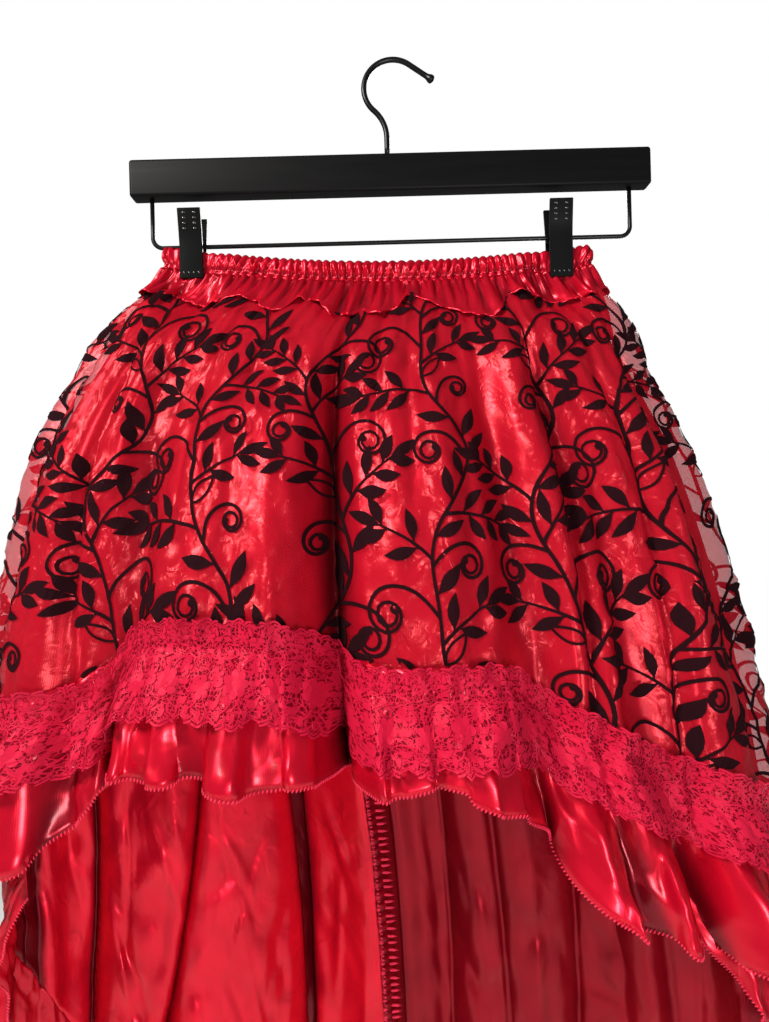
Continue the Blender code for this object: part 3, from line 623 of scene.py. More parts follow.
# Weave lines and small crumples shared by the satins; both follow the cloth's flat coordinates
def clothBump(tree, threadMm, weave, crumples):
    flat = addNode(tree, "ShaderNodeUVMap", {"uv_map": "flat"}).outputs[0]
    # real satin has 40 threads to the millimetre: drawn as coarse streaks so that they show
    threads = addNode(tree, "ShaderNodeTexWave", {"wave_type": "BANDS", "bands_direction": "X"}, {
        "Vector": flat, "Scale": 1 / (threadMm * mm * 3.2), "Distortion": 0.6, "Detail": 1.0}).outputs["Fac"]
    bump = addNode(tree, "ShaderNodeBump", inputs={"Strength": weave, "Distance": 0.0002, "Height": threads})
    ridges = []
    for sizeMm, stretch, heightMm, strength in crumples:
        placed = addNode(tree, "ShaderNodeMapping", inputs={"Vector": flat, "Scale": stretch}).outputs[0]
        noise = addNode(tree, "ShaderNodeTexNoise", {"noise_type": "RIDGED_MULTIFRACTAL"}, {
            "Vector": placed, "Scale": 1 / (sizeMm * mm), "Detail": 2.0, "Roughness": 0.45,
            "Distortion": 0.9}).outputs["Fac"]
        ridges.append(noise)
        bump = addNode(tree, "ShaderNodeBump", inputs={
            "Strength": strength, "Distance": heightMm * mm, "Height": noise, "Normal": bump.outputs[0]})
    return flat, ridges, bump.outputs[0]


# Colour painted darker, toward a deep red, by the piece's own fold depth: painted shade in the folds
def shadedColour(tree, colour, deep, share):
    depth = addNode(tree, "ShaderNodeAttribute", {"attribute_name": "foldShade"}).outputs["Fac"]
    amount = addNode(tree, "ShaderNodeMath", {"operation": "MULTIPLY"}, {0: depth, 1: share}).outputs[0]
    return addNode(tree, "ShaderNodeMix", {"data_type": "RGBA"}, {
        0: amount, 6: colour, 7: linearColour(deep)}).outputs[2]


# Polyester satin: long floats of bright filament yarn give a soft streaky sheen on every fold
def satinMaterial(name, light, dark, creased=1.0, coat=0.22):
    made, tree, shader = newMaterial(name)
    flat, _, bump = clothBump(tree, 0.9, 0.08, (
        (30, (1.0, 0.5, 1.0), 3.0, 0.42 * creased), (11, (1.0, 0.7, 1.0), 0.8, 0.30 * creased)))
    cloud = addNode(tree, "ShaderNodeTexNoise", inputs={
        "Vector": flat, "Scale": 22.0, "Detail": 2.0}).outputs["Fac"]
    colour = addNode(tree, "ShaderNodeMix", {"data_type": "RGBA"}, {
        0: cloud, 6: linearColour(dark), 7: linearColour(light)}).outputs[2]
    # painted shade: the satin is painted darker in its folds, by the piece's foldShade
    tree.links.new(shadedColour(tree, colour, "#46000A", 0.94), shader.inputs["Base Color"])
    tree.links.new(bump, shader.inputs["Normal"])
    setShader(shader, {"Roughness": 0.33, "Metallic": 0.45, "Specular Tint": linearColour("#FF7880"),
                       "Coat Weight": coat, "Coat Roughness": 0.20})
    return made


# Crystal organza: sheer twisted nylon, stiff and crinkled; its faint glitter at the crumples is painted
# highlights, light pink on the crumple ridges
def organzaMaterial():
    made, tree, shader = newMaterial("redCrystalOrganza")
    _, ridges, bump = clothBump(tree, 0.8, 0.1, (
        (15, (1.0, 0.8, 1.0), 3.0, 0.9), (6, (1.0, 1.0, 1.0), 0.8, 0.7)))
    # painted highlights: the broad and the fine crumple ridges are painted light pink, standing in for
    # glints
    broad = addNode(tree, "ShaderNodeMapRange", {"interpolation_type": "SMOOTHSTEP"}, {
        "Value": ridges[0], "From Min": 0.45, "From Max": 1.15, "To Min": 0.0, "To Max": 0.9}).outputs[0]
    fineGlints = addNode(tree, "ShaderNodeMapRange", {"interpolation_type": "SMOOTHSTEP"}, {
        "Value": ridges[1], "From Min": 0.80, "From Max": 1.25, "To Min": 0.0, "To Max": 0.75}).outputs[0]
    lines = addNode(tree, "ShaderNodeMath", {"operation": "MAXIMUM"}, {0: broad, 1: fineGlints}).outputs[0]
    colour = addNode(tree, "ShaderNodeMix", {"data_type": "RGBA"}, {
        0: lines, 6: linearColour("#BC1428"), 7: linearColour("#FFB0A4")}).outputs[2]
    # painted shade: the organza is painted darker in its folds, by the piece's foldShade
    tree.links.new(shadedColour(tree, colour, "#48040A", 0.88), shader.inputs["Base Color"])
    tree.links.new(bump, shader.inputs["Normal"])
    setShader(shader, {"Roughness": 0.26, "Alpha": 0.38, "Metallic": 0.15,
                       "Specular Tint": linearColour("#FFA6A0")})
    return made


# Flock: black viscose fibre glued upright, matt, with a dark red cast at its edges
def flockMaterial():
    made, tree, shader = newMaterial("blackFlock")
    place = addNode(tree, "ShaderNodeTexCoord").outputs["Object"]
    fibre = addNode(tree, "ShaderNodeTexNoise", inputs={
        "Vector": place, "Scale": 2200.0, "Detail": 1.0}).outputs["Fac"]
    bump = addNode(tree, "ShaderNodeBump", inputs={"Strength": 0.5, "Distance": 0.0002, "Height": fibre})
    tone = addNode(tree, "ShaderNodeMix", {"data_type": "RGBA"}, {
        0: fibre, 6: linearColour("#0C0305"), 7: linearColour("#26080E")}).outputs[2]
    tree.links.new(tone, shader.inputs["Base Color"])
    tree.links.new(bump.outputs[0], shader.inputs["Normal"])
    setShader(shader, {"Roughness": 0.9, "Specular IOR Level": 0.06})
    return made


# Raschel lace: matt nylon net with thicker figured yarns; the net's holes are cut by the alpha.
# The real net has cells of 1 mm: drawn at 2.3 mm so that they show
def laceMaterial(name, netted):
    made, tree, shader = newMaterial(name)
    flat = addNode(tree, "ShaderNodeUVMap", {"uv_map": "flat"}).outputs[0]
    yarn = addNode(tree, "ShaderNodeTexNoise", inputs={
        "Vector": flat, "Scale": 1500.0, "Detail": 1.0}).outputs["Fac"]
    tone = addNode(tree, "ShaderNodeMix", {"data_type": "RGBA"}, {
        0: yarn, 6: linearColour("#900622"), 7: linearColour("#C6183A")}).outputs[2]
    tree.links.new(tone, shader.inputs["Base Color"])
    height = yarn
    if netted:
        swirl = addNode(tree, "ShaderNodeTexNoise", inputs={"Vector": flat, "Scale": 190.0, "Detail": 1.0})
        bent = addNode(tree, "ShaderNodeVectorMath", {"operation": "MULTIPLY_ADD"}, {
            0: swirl.outputs["Color"], 1: (0.006, 0.006, 0.0), 2: flat}).outputs[0]
        cells = addNode(tree, "ShaderNodeTexVoronoi", {"feature": "DISTANCE_TO_EDGE"}, {
            "Vector": flat, "Scale": 1 / (2.3 * mm), "Randomness": 0.85}).outputs["Distance"]
        holes = addNode(tree, "ShaderNodeMath", {"operation": "GREATER_THAN"}, {0: cells, 1: 0.085})
        # dense woven petals: rings round scattered centres, broken up by the swirl
        centres = addNode(tree, "ShaderNodeTexVoronoi", {"feature": "F1"}, {
            "Vector": bent, "Scale": 1 / (13.0 * mm), "Randomness": 0.8}).outputs["Distance"]
        rings = addNode(tree, "ShaderNodeMath", {"operation": "PINGPONG"}, {0: centres, 1: 0.11})
        outside = addNode(tree, "ShaderNodeMath", {"operation": "LESS_THAN"}, {0: rings, 1: 0.078})
        gaps = addNode(tree, "ShaderNodeMath", {"operation": "MULTIPLY"}, {0: holes, 1: outside})
        alpha = addNode(tree, "ShaderNodeMapRange", inputs={
            "Value": gaps, "From Min": 0.0, "From Max": 1.0, "To Min": 1.0, "To Max": 0.12}).outputs[0]
        tree.links.new(alpha, shader.inputs["Alpha"])
        height = alpha
    bump = addNode(tree, "ShaderNodeBump", inputs={"Strength": 0.6, "Distance": 0.0004, "Height": height})
    tree.links.new(bump.outputs[0], shader.inputs["Normal"])
    setShader(shader, {"Roughness": 0.55, "Specular Tint": linearColour("#FF7080"), "Sheen Weight": 0.08,
                       "Sheen Roughness": 0.5, "Sheen Tint": linearColour("#FF5070")})
    return made


# Overlock thread: spun polyester, matt, a little pinker than the satin
def threadMaterial():
    made, tree, shader = newMaterial("crimsonThread")
    place = addNode(tree, "ShaderNodeTexCoord").outputs["Object"]
    twist = addNode(tree, "ShaderNodeTexNoise", inputs={"Vector": place, "Scale": 1800.0}).outputs["Fac"]
    tone = addNode(tree, "ShaderNodeMix", {"data_type": "RGBA"}, {
        0: twist, 6: linearColour("#A80C28"), 7: linearColour("#F03A58")}).outputs[2]
    tree.links.new(tone, shader.inputs["Base Color"])
    setShader(shader, {"Roughness": 0.5, "Specular Tint": linearColour("#FF5060")})
    return made


# Black finishes of the hanger: sprayed lacquer on beech shows faint long grain, dipped wire is
# smooth and glossy, moulded plastic is satin with a fine mould texture
def blackMaterial(name, light, dark, roughness, scale, stretch, bumpMm, strength, shine):
    made, tree, shader = newMaterial(name)
    place = addNode(tree, "ShaderNodeTexCoord").outputs["Object"]
    placed = addNode(tree, "ShaderNodeMapping", inputs={"Vector": place, "Scale": stretch}).outputs[0]
    grain = addNode(tree, "ShaderNodeTexNoise", inputs={
        "Vector": placed, "Scale": scale, "Detail": 4.0, "Roughness": 0.6}).outputs["Fac"]
    bump = addNode(tree, "ShaderNodeBump", inputs={
        "Strength": strength, "Distance": bumpMm * mm, "Height": grain})
    tone = addNode(tree, "ShaderNodeMix", {"data_type": "RGBA"}, {
        0: grain, 6: linearColour(dark), 7: linearColour(light)}).outputs[2]
    rough = addNode(tree, "ShaderNodeMapRange", inputs={
        "Value": grain, "To Min": roughness * 0.85, "To Max": roughness * 1.15}).outputs[0]
    tree.links.new(tone, shader.inputs["Base Color"])
    tree.links.new(rough, shader.inputs["Roughness"])
    tree.links.new(bump.outputs[0], shader.inputs["Normal"])
    setShader(shader, {"Specular IOR Level": shine})
    return made


# Bright drawn spring wire: fine drawing marks break up its shine
def steelMaterial():
    made, tree, shader = newMaterial("brightSpringWire")
    place = addNode(tree, "ShaderNodeTexCoord").outputs["Object"]
    drawn = addNode(tree, "ShaderNodeTexNoise", inputs={"Vector": place, "Scale": 900.0}).outputs["Fac"]
    rough = addNode(tree, "ShaderNodeMapRange", inputs={
        "Value": drawn, "To Min": 0.18, "To Max": 0.34}).outputs[0]
    tree.links.new(rough, shader.inputs["Roughness"])
    setShader(shader, {"Base Color": linearColour("#D8D6D0"), "Metallic": 1.0})
    return made


# Plain painted board under the object
def floorMaterial():
    made, tree, shader = newMaterial("paleFloor")
    place = addNode(tree, "ShaderNodeTexCoord").outputs["Object"]
    cloud = addNode(tree, "ShaderNodeTexNoise", inputs={"Vector": place, "Scale": 3.0}).outputs["Fac"]
    tone = addNode(tree, "ShaderNodeMix", {"data_type": "RGBA"}, {
        0: cloud, 6: linearColour("#ECEAE7"), 7: linearColour("#F2F1EE")}).outputs[2]
    tree.links.new(tone, shader.inputs["Base Color"])
    setShader(shader, {"Roughness": 0.8})
    return made


satin = satinMaterial("redSatin", "#DE0E2C", "#B8061E")
# the same satin painted darker and with less coat, as painted shade on the inside of the right back and on
# the back seam allowance
paintedShadeSatin = satinMaterial("redSatinPaintedShade", "#960A1C", "#720414", 1.4, 0.10)
creasedSatin = satinMaterial("redSatinCreased", "#E61230", "#AE061C", 2.6, 0.20)
ruffleSatin = satinMaterial("redSatinRuffle", "#C80A28", "#A0041A", 1.8)
organza = organzaMaterial()
flock = flockMaterial()
thread = threadMaterial()
laceNet = laceMaterial("crimsonLaceNet", True)
laceCord = laceMaterial("crimsonLaceYarn", False)
# name, light, dark, roughness, scale of the grain, its stretch, bump in mm, its strength, shine
lacquer = blackMaterial(
    "blackLacqueredBeech", "#0E0D0D", "#070707", 0.46, 60.0, (0.25, 4.0, 4.0), 0.08, 0.15, 0.08)
blackWire = blackMaterial(
    "blackDippedWire", "#0C0C0C", "#060606", 0.32, 700.0, (1, 1, 1), 0.03, 0.1, 0.22)
plastic = blackMaterial(
    "blackMouldedPlastic", "#0D0D0D", "#070707", 0.34, 1400.0, (1, 1, 1), 0.03, 0.15, 0.10)
dotPlastic = blackMaterial(
    "blackPolishedDots", "#2A2622", "#1A1714", 0.22, 1400.0, (1, 1, 1), 0.03, 0.1, 0.9)
steel = steelMaterial()
print("materials ready")


# Waist casing: elastic in a satin channel, ruched into close gathers

casing = {
    "gathers": 112, "height": 0.0142, "depth": 0.0036, "crown": 0.0018, "wall": 0.0012, "slant": 3.4,
    "scallop": 0.0014, "crumple": 0.0030, "stitchDrop": 0.0108, "stitchDepth": 0.0015,
    "stitchHalf": 0.0011, "stitchShade": 0.0016, "clipHalf": 0.010, "clipFade": 0.010,
    "perGather": 8, "rows": 12,
}


def casingReach(angle, part):
    leaning = angle + casing["slant"] * (part - 0.5) * (0.6 + 0.8 * np.sin(np.radians(angle * 5)))
    lobes = gathers(leaning, 5, casing["gathers"], 0.8)
    size = 0.75 + 0.45 * unevenWaves(angle + 0.6 * part, 7, 71)
    pressed = np.zeros(np.broadcast(angle, part).shape)
    waistX = formPoints(angle, 0.0, 0.0)[..., 0]
    for clip in clips.values():
        beside = np.abs(waistX - clip["x"]) - casing["clipHalf"]
        pressed = np.maximum(pressed, 1 - smoothStep(beside / casing["clipFade"]))
    stitched = np.exp(-((part * casing["height"] - casing["stitchDrop"]) / casing["stitchHalf"]) ** 2)
    rounding = np.sin(math.pi * np.clip(part, 0, 1) ** 0.8)
    reach = casing["crown"] * rounding
    reach = reach + casing["depth"] * size * (lobes - 0.55) * (0.35 + 0.65 * rounding)
    reach = reach + casing["crumple"] * crumple(angle, part * casing["height"], 121, 8.0) * rounding
    return (reach - casing["stitchDepth"] * stitched) * (1 - 0.75 * pressed), lobes


def makeCasing():
    count = casing["gathers"] * casing["perGather"]
    angle = (np.arange(count) * 360.0 / count - 180.0)[None, :]
    part = np.linspace(0.0, 1.0, casing["rows"])[:, None]
    reach, lobes = casingReach(angle, part)
    edge = -casing["scallop"] * (lobes - 0.3) * (1 - part) ** 2
    drop = part * casing["height"] + edge
    # painted shade: darker in the valleys between the gathers and along the stitched line
    stitched = np.exp(-((part * casing["height"] - casing["stitchDrop"]) / casing["stitchShade"]) ** 2)
    shade = 0.95 * smoothStep((0.50 - lobes) / 0.50) + 0.35 * stitched
    made = clothSheet(
        "waistCasing", angle, drop, reach, casing["wall"], ruffleSatin, True, None, shade)
    finish(made, "satin", "waist_casing_front", "waist_casing_back")


# Yoke: the gathered satin strip under the casing, with a rolled lower edge

yoke = {
    "depth": 0.0030, "waves": 0.0046, "flare": 0.0012, "roll": 0.0013, "wall": 0.0006,
    "stand": 0.0008, "tuck": 0.0008, "edgeWave": 0.0016, "edgeFine": 0.0008, "columns": 840, "rows": 15,
}


def yokeGathers(angle, part):
    return gathers(angle + 1.5 * part, 13, 62, 1.1)


def yokeWaves(angle, part):
    return unevenWaves(angle - 2.0 * part, 11, 36, 1.2)


def yokeReach(angle, part):
    fine = gathers(angle, 5, casing["gathers"], 0.8) - 0.55
    middle = yokeGathers(angle, part) - 0.6
    rolled = yoke["roll"] * np.exp(-((part - 0.965) / 0.035) ** 2)
    gathered = yoke["depth"] * (fine * (1 - part) ** 2.2 + middle * np.sin(math.pi * part ** 0.7))
    waved = yoke["waves"] * yokeWaves(angle, part) * part ** 1.3
    return gathered + waved + yoke["flare"] * part ** 2 + rolled + yoke["stand"]


def makeYoke():
    angle = np.linspace(-180.0, 180.0, yoke["columns"], endpoint=False)[None, :]
    part = np.linspace(0.0, 1.0, yoke["rows"])[:, None] ** 0.9
    top = casing["height"] - yoke["tuck"]
    edge = curveRound(angle, yokeEdge) + yoke["edgeWave"] * unevenWaves(angle, 23, 47, 1.3)
    edge = edge + yoke["edgeFine"] * unevenWaves(angle, 29, 83)
    drop = top + (edge - top) * part
    # painted shade: darker in the gather valleys, in the hollows of the broad waves and toward the top under
    # the casing, fading out on the rolled edge
    valley = smoothStep((0.50 - yokeGathers(angle, part)) / 0.50) * np.sin(math.pi * part ** 0.7)
    broad = smoothStep((-yokeWaves(angle, part) - 0.05) / 0.6) * np.minimum(part * 1.5, 1)
    shade = 0.80 * valley + 0.62 * broad + 0.45 * (1 - part) ** 3
    shade = shade * (1 - smoothStep((part - 0.90) / 0.06))
    reach = yokeReach(angle, part)
    made = clothSheet("yoke", angle, drop, reach, yoke["wall"], ruffleSatin, True, None, shade)
    finish(made, "satin", "yoke_front", "yoke_back")


# Organza overlay

overlay = {
    "columns": 430, "rows": 60, "wall": 0.0003, "puff": 0.0075, "puffLength": 0.055, "gather": 0.0032,
    "ripple": 0.0016, "crumple": 0.0042, "crumpleSize": 11.0, "tuck": 0.003, "inset": 0.0012,
}


def overlayReach(angle, below, drop):
    uneven = 0.7 + 0.3 * np.cos(np.radians(angle * 7 + 40))
    puff = overlay["puff"] * uneven * np.sin(math.pi * np.clip(below / overlay["puffLength"], 0, 1))
    pulled = overlay["gather"] * (gathers(angle, 31, 66) - 0.6) * np.exp(-np.maximum(below, 0) / 0.050)
    ripple = overlay["ripple"] * unevenWaves(angle + 40 * below, 37, 34) * smoothStep(below / 0.06)
    rough = overlay["crumple"] * crumple(angle, drop, 97, overlay["crumpleSize"])
    sewnIn = overlay["inset"] * (1 - smoothStep(below / 0.006))
    return puff + pulled + ripple + rough * smoothStep(below / 0.03) - sewnIn


def overlayGrid(columns, rows, closes):
    angle = np.linspace(-180.0, 180.0, columns, endpoint=not closes)[None, :]
    part = np.linspace(0.0, 1.0, rows)[:, None]
    top = curveRound(angle, yokeEdge) - overlay["tuck"]
    drop = top + (curveRound(angle, overlayHem) - top) * part
    return angle, drop, overlayReach(angle, drop - top - overlay["tuck"], drop)


def makeOverlay():
    angle, drop, reach = overlayGrid(overlay["columns"], overlay["rows"], True)
    shade = bodyShade(angle, drop)
    made = clothSheet(
        "organzaOverlay", angle, drop, reach, overlay["wall"], organza, True, None, shade)
    finish(made, "organza", "overlay_front", "overlay_back_right", "overlay_back_left")


# Flat motifs for the flock and the lace, drawn in millimetres

# outline of a leaf and of a petal: place along it, share of the width
leafForm = (
    (0.0, 0.16), (0.10, 0.17), (0.22, 0.52), (0.36, 0.88),
    (0.52, 1.0), (0.68, 0.86), (0.84, 0.50), (1.0, 0.03),
)
petalForm = ((0.0, 0.30), (0.35, 0.75), (0.70, 1.0), (0.90, 0.75), (1.0, 0.25))


class Motif:
    def __init__(self, height, midribs=False):
        self.height = height
        self.midribs = midribs
        self.parts = []

    def strip(self, grid):  # grid: steps along x points across x 2
        self.parts.append(np.asarray(grid, dtype=float))

    def ribbon(self, path, widths):
        path = np.asarray(path, dtype=float)
        along = np.gradient(path, axis=0)
        along /= np.maximum(np.linalg.norm(along, axis=1), 1e-9)[:, None]
        side = np.stack([-along[:, 1], along[:, 0]], axis=1) * (np.asarray(widths) / 2)[:, None]
        self.strip(np.stack([path + side, path - side], axis=1))

    def leaf(self, x, y, heading, length, width, bend=0.0, form=None):
        t, half = np.array(form or leafForm).T
        turn = np.radians(heading + bend * (t - 0.3))
        step = np.diff(t) * length
        path = np.stack([x + np.concatenate([[0], np.cumsum(np.cos(turn[:-1]) * step)]),
                         y + np.concatenate([[0], np.cumsum(np.sin(turn[:-1]) * step)])], axis=1)
        side = np.stack([-np.sin(turn), np.cos(turn)], axis=1) * (half * width / 2)[:, None]
        lines = [path + side, path, path - side] if self.midribs else [path + side, path - side]
        self.strip(np.stack(lines, axis=1))

    def openLeaf(self, x, y, heading, length, width, line):
        t, a = np.linspace(0.0, 1.0, 9), math.radians(heading)
        for sign in (1, -1):
            half = sign * width / 2 * np.sin(math.pi * t ** 0.85)
            path = np.stack([x + t * length * math.cos(a) - half * math.sin(a),
                             y + t * length * math.sin(a) + half * math.cos(a)], axis=1)
            self.ribbon(path, np.full(len(t), line))

    def disc(self, x, y, radius, sides=8):
        turn = np.linspace(-math.pi / 2, math.pi / 2, sides // 2 + 1)
        left = np.stack([x - radius * np.cos(turn), y + radius * np.sin(turn)], axis=1)
        right = np.stack([x + radius * np.cos(turn), y + radius * np.sin(turn)], axis=1)
        self.strip(np.stack([left, right], axis=1))

    # a path whose bend, in degrees per millimetre, changes evenly along it
    def trail(self, x, y, heading, length, bendFrom, bendTo, widthFrom, widthTo, steps):
        bends = np.linspace(bendFrom, bendTo, steps) * length / steps
        turn = np.radians(heading + np.concatenate([[0], np.cumsum(bends)]))
        step = length / steps
        path = np.stack([x + np.concatenate([[0], np.cumsum(np.cos(turn[:-1]))]) * step,
                         y + np.concatenate([[0], np.cumsum(np.sin(turn[:-1]))]) * step], axis=1)
        self.ribbon(path, np.linspace(widthFrom, widthTo, steps + 1))
        return path, np.degrees(turn)

    def makeObject(self, name):
        points, faces, start = [], [], 0
        for grid in self.parts:
            rows, columns = grid.shape[:2]
            flat = np.concatenate([grid.reshape(-1, 2) * mm, np.zeros((rows * columns, 1))], axis=1)
            upper = flat + np.array([0.0, 0.0, self.height * mm])
            points += [upper, flat]
            a, b, c = grid[0, 0], grid[1, 0], grid[0, -1]
            mirrored = np.cross(b - a, c - a) < 0
            quads = shellFaces(rows, columns, False, start)
            faces.append(quads[:, ::-1] if mirrored else quads)
            start += 2 * rows * columns
        made = meshObject(name, np.concatenate(points), np.concatenate(faces), None, False)
        made.hide_render = True
        return made


vine = {
    "width": 160.0, "height": 180.0, "stem": 2.2, "leaf": 21.5, "leafWidth": 7.5, "thickness": 0.3,
    "openLeaf": 22.0, "openWidth": 8.0, "openLine": 1.5, "lift": 0.0005, "startX": -0.70,
    "startY": -0.62, "columns": 10, "rows": 5, "halfDrop": 0.5,
}
scrollForm = {
    "stalk": 16.0, "stalkBend": 0.8, "stalkEndBend": 2.2,
    "curl": 92.0, "curlBend": 2.6, "curlEndBend": 13.0, "tip": 1.8, "bud": 2.3,
}

# place across, swing, how late its swing comes, and the way its offshoots face
vineStems = ((38.0, 15.0, 0.0, 1), (118.0, -15.0, 0.22, -1))

offshoots = (
    # place on the stem, kind, side (right 1, left -1), spread in degrees, size
    (0.020, "scroll", 1, 40, 1.10), (0.050, "leaf", -1, 48, 1.0), (0.110, "leaf", -1, 50, 1.15),
    (0.190, "leaf", 1, 50, 1.1), (0.255, "scroll", -1, 38, 0.85), (0.300, "twig3", 1, 46, 1.05),
    (0.380, "open", -1, 50, 1.0), (0.440, "twig2", -1, 46, 0.95), (0.520, "scroll", 1, 36, 1.25),
    (0.590, "leaf", -1, 50, 1.1), (0.675, "scroll", -1, 40, 0.95), (0.700, "twig2", 1, 50, 1.0),
    (0.770, "leaf", -1, 46, 1.0), (0.840, "twig3", -1, 50, 0.9), (0.880, "leaf", 1, 46, 1.0),
    (0.955, "leaf", 1, 48, 0.9),
)


def leafyTwig(motif, x, y, heading, length, bend, pairs, size):
    steps = 10
    path, turn = motif.trail(x, y, heading, length, bend * 1.4, bend * 0.4, vine["stem"], 1.3, steps)
    for k in range(pairs):
        at = int(round((0.26 + 0.62 * k / (pairs - 1)) * steps))
        for side in (1, -1):
            late = at if side > 0 else at + 1
            motif.leaf(path[late, 0], path[late, 1], turn[late] + side * (50 - 5 * k),
                       vine["leaf"] * size * (1.0 - 0.07 * k + 0.06 * side), vine["leafWidth"] * size,
                       -side * 26)
    motif.leaf(path[-1, 0], path[-1, 1], turn[-1], vine["leaf"] * size * 1.1,
               vine["leafWidth"] * size, bend * 8)


def scroll(motif, x, y, heading, side, size):
    form, line = scrollForm, vine["stem"]
    path, turn = motif.trail(x, y, heading, form["stalk"] * size, -side * form["stalkBend"] / size,
                             -side * form["stalkEndBend"] / size, line, line, 5)
    path, turn = motif.trail(path[-1, 0], path[-1, 1], turn[-1], form["curl"] * size,
                             -side * form["curlBend"] / size, -side * form["curlEndBend"] / size,
                             line, form["tip"], 30)
    motif.disc(path[-1, 0], path[-1, 1], form["bud"] * size)


def vineMotif():
    motif = Motif(vine["thickness"], True)
    t = np.linspace(0, 1, 41)
    for middle, swing, late, mirror in vineStems:
        y = t * vine["height"]
        x = middle + swing * np.sin(2 * math.pi * (t + late))
        x = x + 5 * np.sin(4 * math.pi * (t + late) + middle)
        motif.ribbon(np.stack([x, y], axis=1), np.full(len(t), vine["stem"]))
        heading = np.degrees(np.arctan2(np.gradient(y), np.gradient(x)))
        for at, kind, side, spread, size in offshoots:
            at = at if mirror > 0 else (at + 0.47) % 1.0
            side = side * mirror
            px, py, way = (np.interp(at, t, values) for values in (x, y, heading))
            way = way - side * spread
            if kind in ("twig2", "twig3"):
                pairs = int(kind[-1])
                leafyTwig(motif, px, py, way, (15 + 11 * pairs) * size, -side * 0.7, pairs, size)
            elif kind == "scroll":
                scroll(motif, px, py, way, side, size)
            elif kind == "leaf":
                motif.leaf(px, py, way, vine["leaf"] * size, vine["leafWidth"] * size, side * 14)
            else:
                motif.openLeaf(px, py, way, vine["openLeaf"] * size, vine["openWidth"] * size,
                               vine["openLine"])
    return motif.makeObject("vineMotif")


# the cloth's width round the body: drop and girth
girths = (
    (0.02, 0.63), (0.05, 0.735), (0.10, 0.934), (0.20, 1.19), (0.30, 1.316), (0.40, 1.383), (0.60, 1.45),
)
meanGirth = 1.27


# The print keeps its size down the cloth: its width is half way to the body's at each drop
def vineFlat(angle, drop):
    girth = 0.5 * np.interp(drop, *zip(*girths)) + 0.5 * meanGirth
    down = drop + 0.030 * smoothStep(drop / 0.16)
    return np.stack([angle / 360.0 * girth, -down], axis=-1)


def makeFlock():
    angle, drop, reach = overlayGrid(480, 80, False)
    guide = clothGuide("overlayGuide", angle, drop, reach, vineFlat(angle, drop))
    motif = vineMotif()
    made = runTree("flockedVines", motifOnCloth, {
        "Motif": motif, "Cloth": guide, "Columns": vine["columns"], "Rows": vine["rows"],
        "Pitch X": vine["width"] * mm, "Pitch Y": vine["height"] * mm, "Start X": vine["startX"],
        "Start Y": vine["startY"], "Half Drop": vine["halfDrop"], "Lift": vine["lift"],
        "Material": flock})
    finish(made, "organza")
    for spare in (guide, motif):
        bpy.data.objects.remove(spare)


# Ruffle on the overlay's hem

ruffle = {
    "length": 0.078, "flare": 0.015, "wave": 0.0085, "waves": 30, "curl": 0.85, "wall": 0.0005,
    "gather": 0.0030, "middle": 0.0026, "low": 0.0022, "crumple": 0.0062, "uneven": 0.0045,
    "columns": 900, "rows": 18, "stitch": (0.0006, 0.0006, 0.0014),
}
stitching = {"pitch": 0.0023, "slant": 0.35}

# the deep turns of the ruffle, drawn one by one: angle at its seam and at its hem, width, height in mm
ruffleTurns = (
    (-79.0, -77.0, 2.6, 9.0), (-71.5, -69.0, 2.2, -14.0), (-64.0, -66.0, 2.6, 12.0),
    (-56.0, -58.0, 2.0, -9.0), (-48.0, -49.5, 1.7, -17.0), (-43.0, -43.0, 2.6, 7.0),
    (-33.0, -31.0, 1.8, -5.0), (-21.0, -20.0, 2.4, 5.0), (-15.0, -13.0, 1.6, -5.0),
    (-9.5, -9.0, 2.2, 8.0), (-5.4, -4.6, 1.5, -19.0), (0.5, 1.0, 2.4, 7.0),
    (10.0, 11.0, 1.8, -7.0), (19.0, 18.0, 2.4, 7.0), (27.0, 29.0, 1.8, -12.0),
    (33.5, 35.0, 2.4, 9.0), (40.5, 42.0, 1.8, -13.0), (47.0, 48.0, 2.4, 9.0),
    (53.0, 54.5, 1.7, -13.0), (60.0, 61.0, 2.4, 9.0), (67.0, 68.0, 1.8, -12.0),
    (75.0, 75.0, 2.2, 8.0), (98.0, 99.0, 2.0, -9.0), (127.0, 125.0, 2.0, -10.0),
    (154.0, 155.0, 2.2, -9.0), (-163.0, -161.0, 2.0, -10.0), (-139.0, -141.0, 2.2, -9.0),
    (-108.0, -107.0, 2.0, -9.0),
)

# how much longer the ruffle is than its usual length: angle and millimetres
ruffleExtra = (
    (-180.0, 0.0), (-110.0, 3.0), (-93.0, 4.0), (-83.0, 22.0), (-76.0, 26.0), (-69.0, 24.0),
    (-61.0, 16.0), (-54.0, 2.0), (-48.0, -6.0), (-42.0, -10.0), (-30.0, -7.0), (-14.0, -9.0),
    (-6.0, -10.0), (2.0, -13.0), (12.0, -17.0), (20.0, -12.0), (27.0, 0.0), (34.0, 12.0),
    (43.0, 10.0), (56.0, 7.0), (70.0, 3.0), (90.0, 0.0), (130.0, 2.0),
)


def ruffleTurn(angle, part):
    total = np.zeros(np.broadcast(angle, part).shape)
    for top, bottom, width, height in ruffleTurns:
        away = (angle - top - (bottom - top) * part + 180.0) % 360.0 - 180.0
        total = total + height * mm / (1 + (away / width) ** 2) ** 1.5
    return total


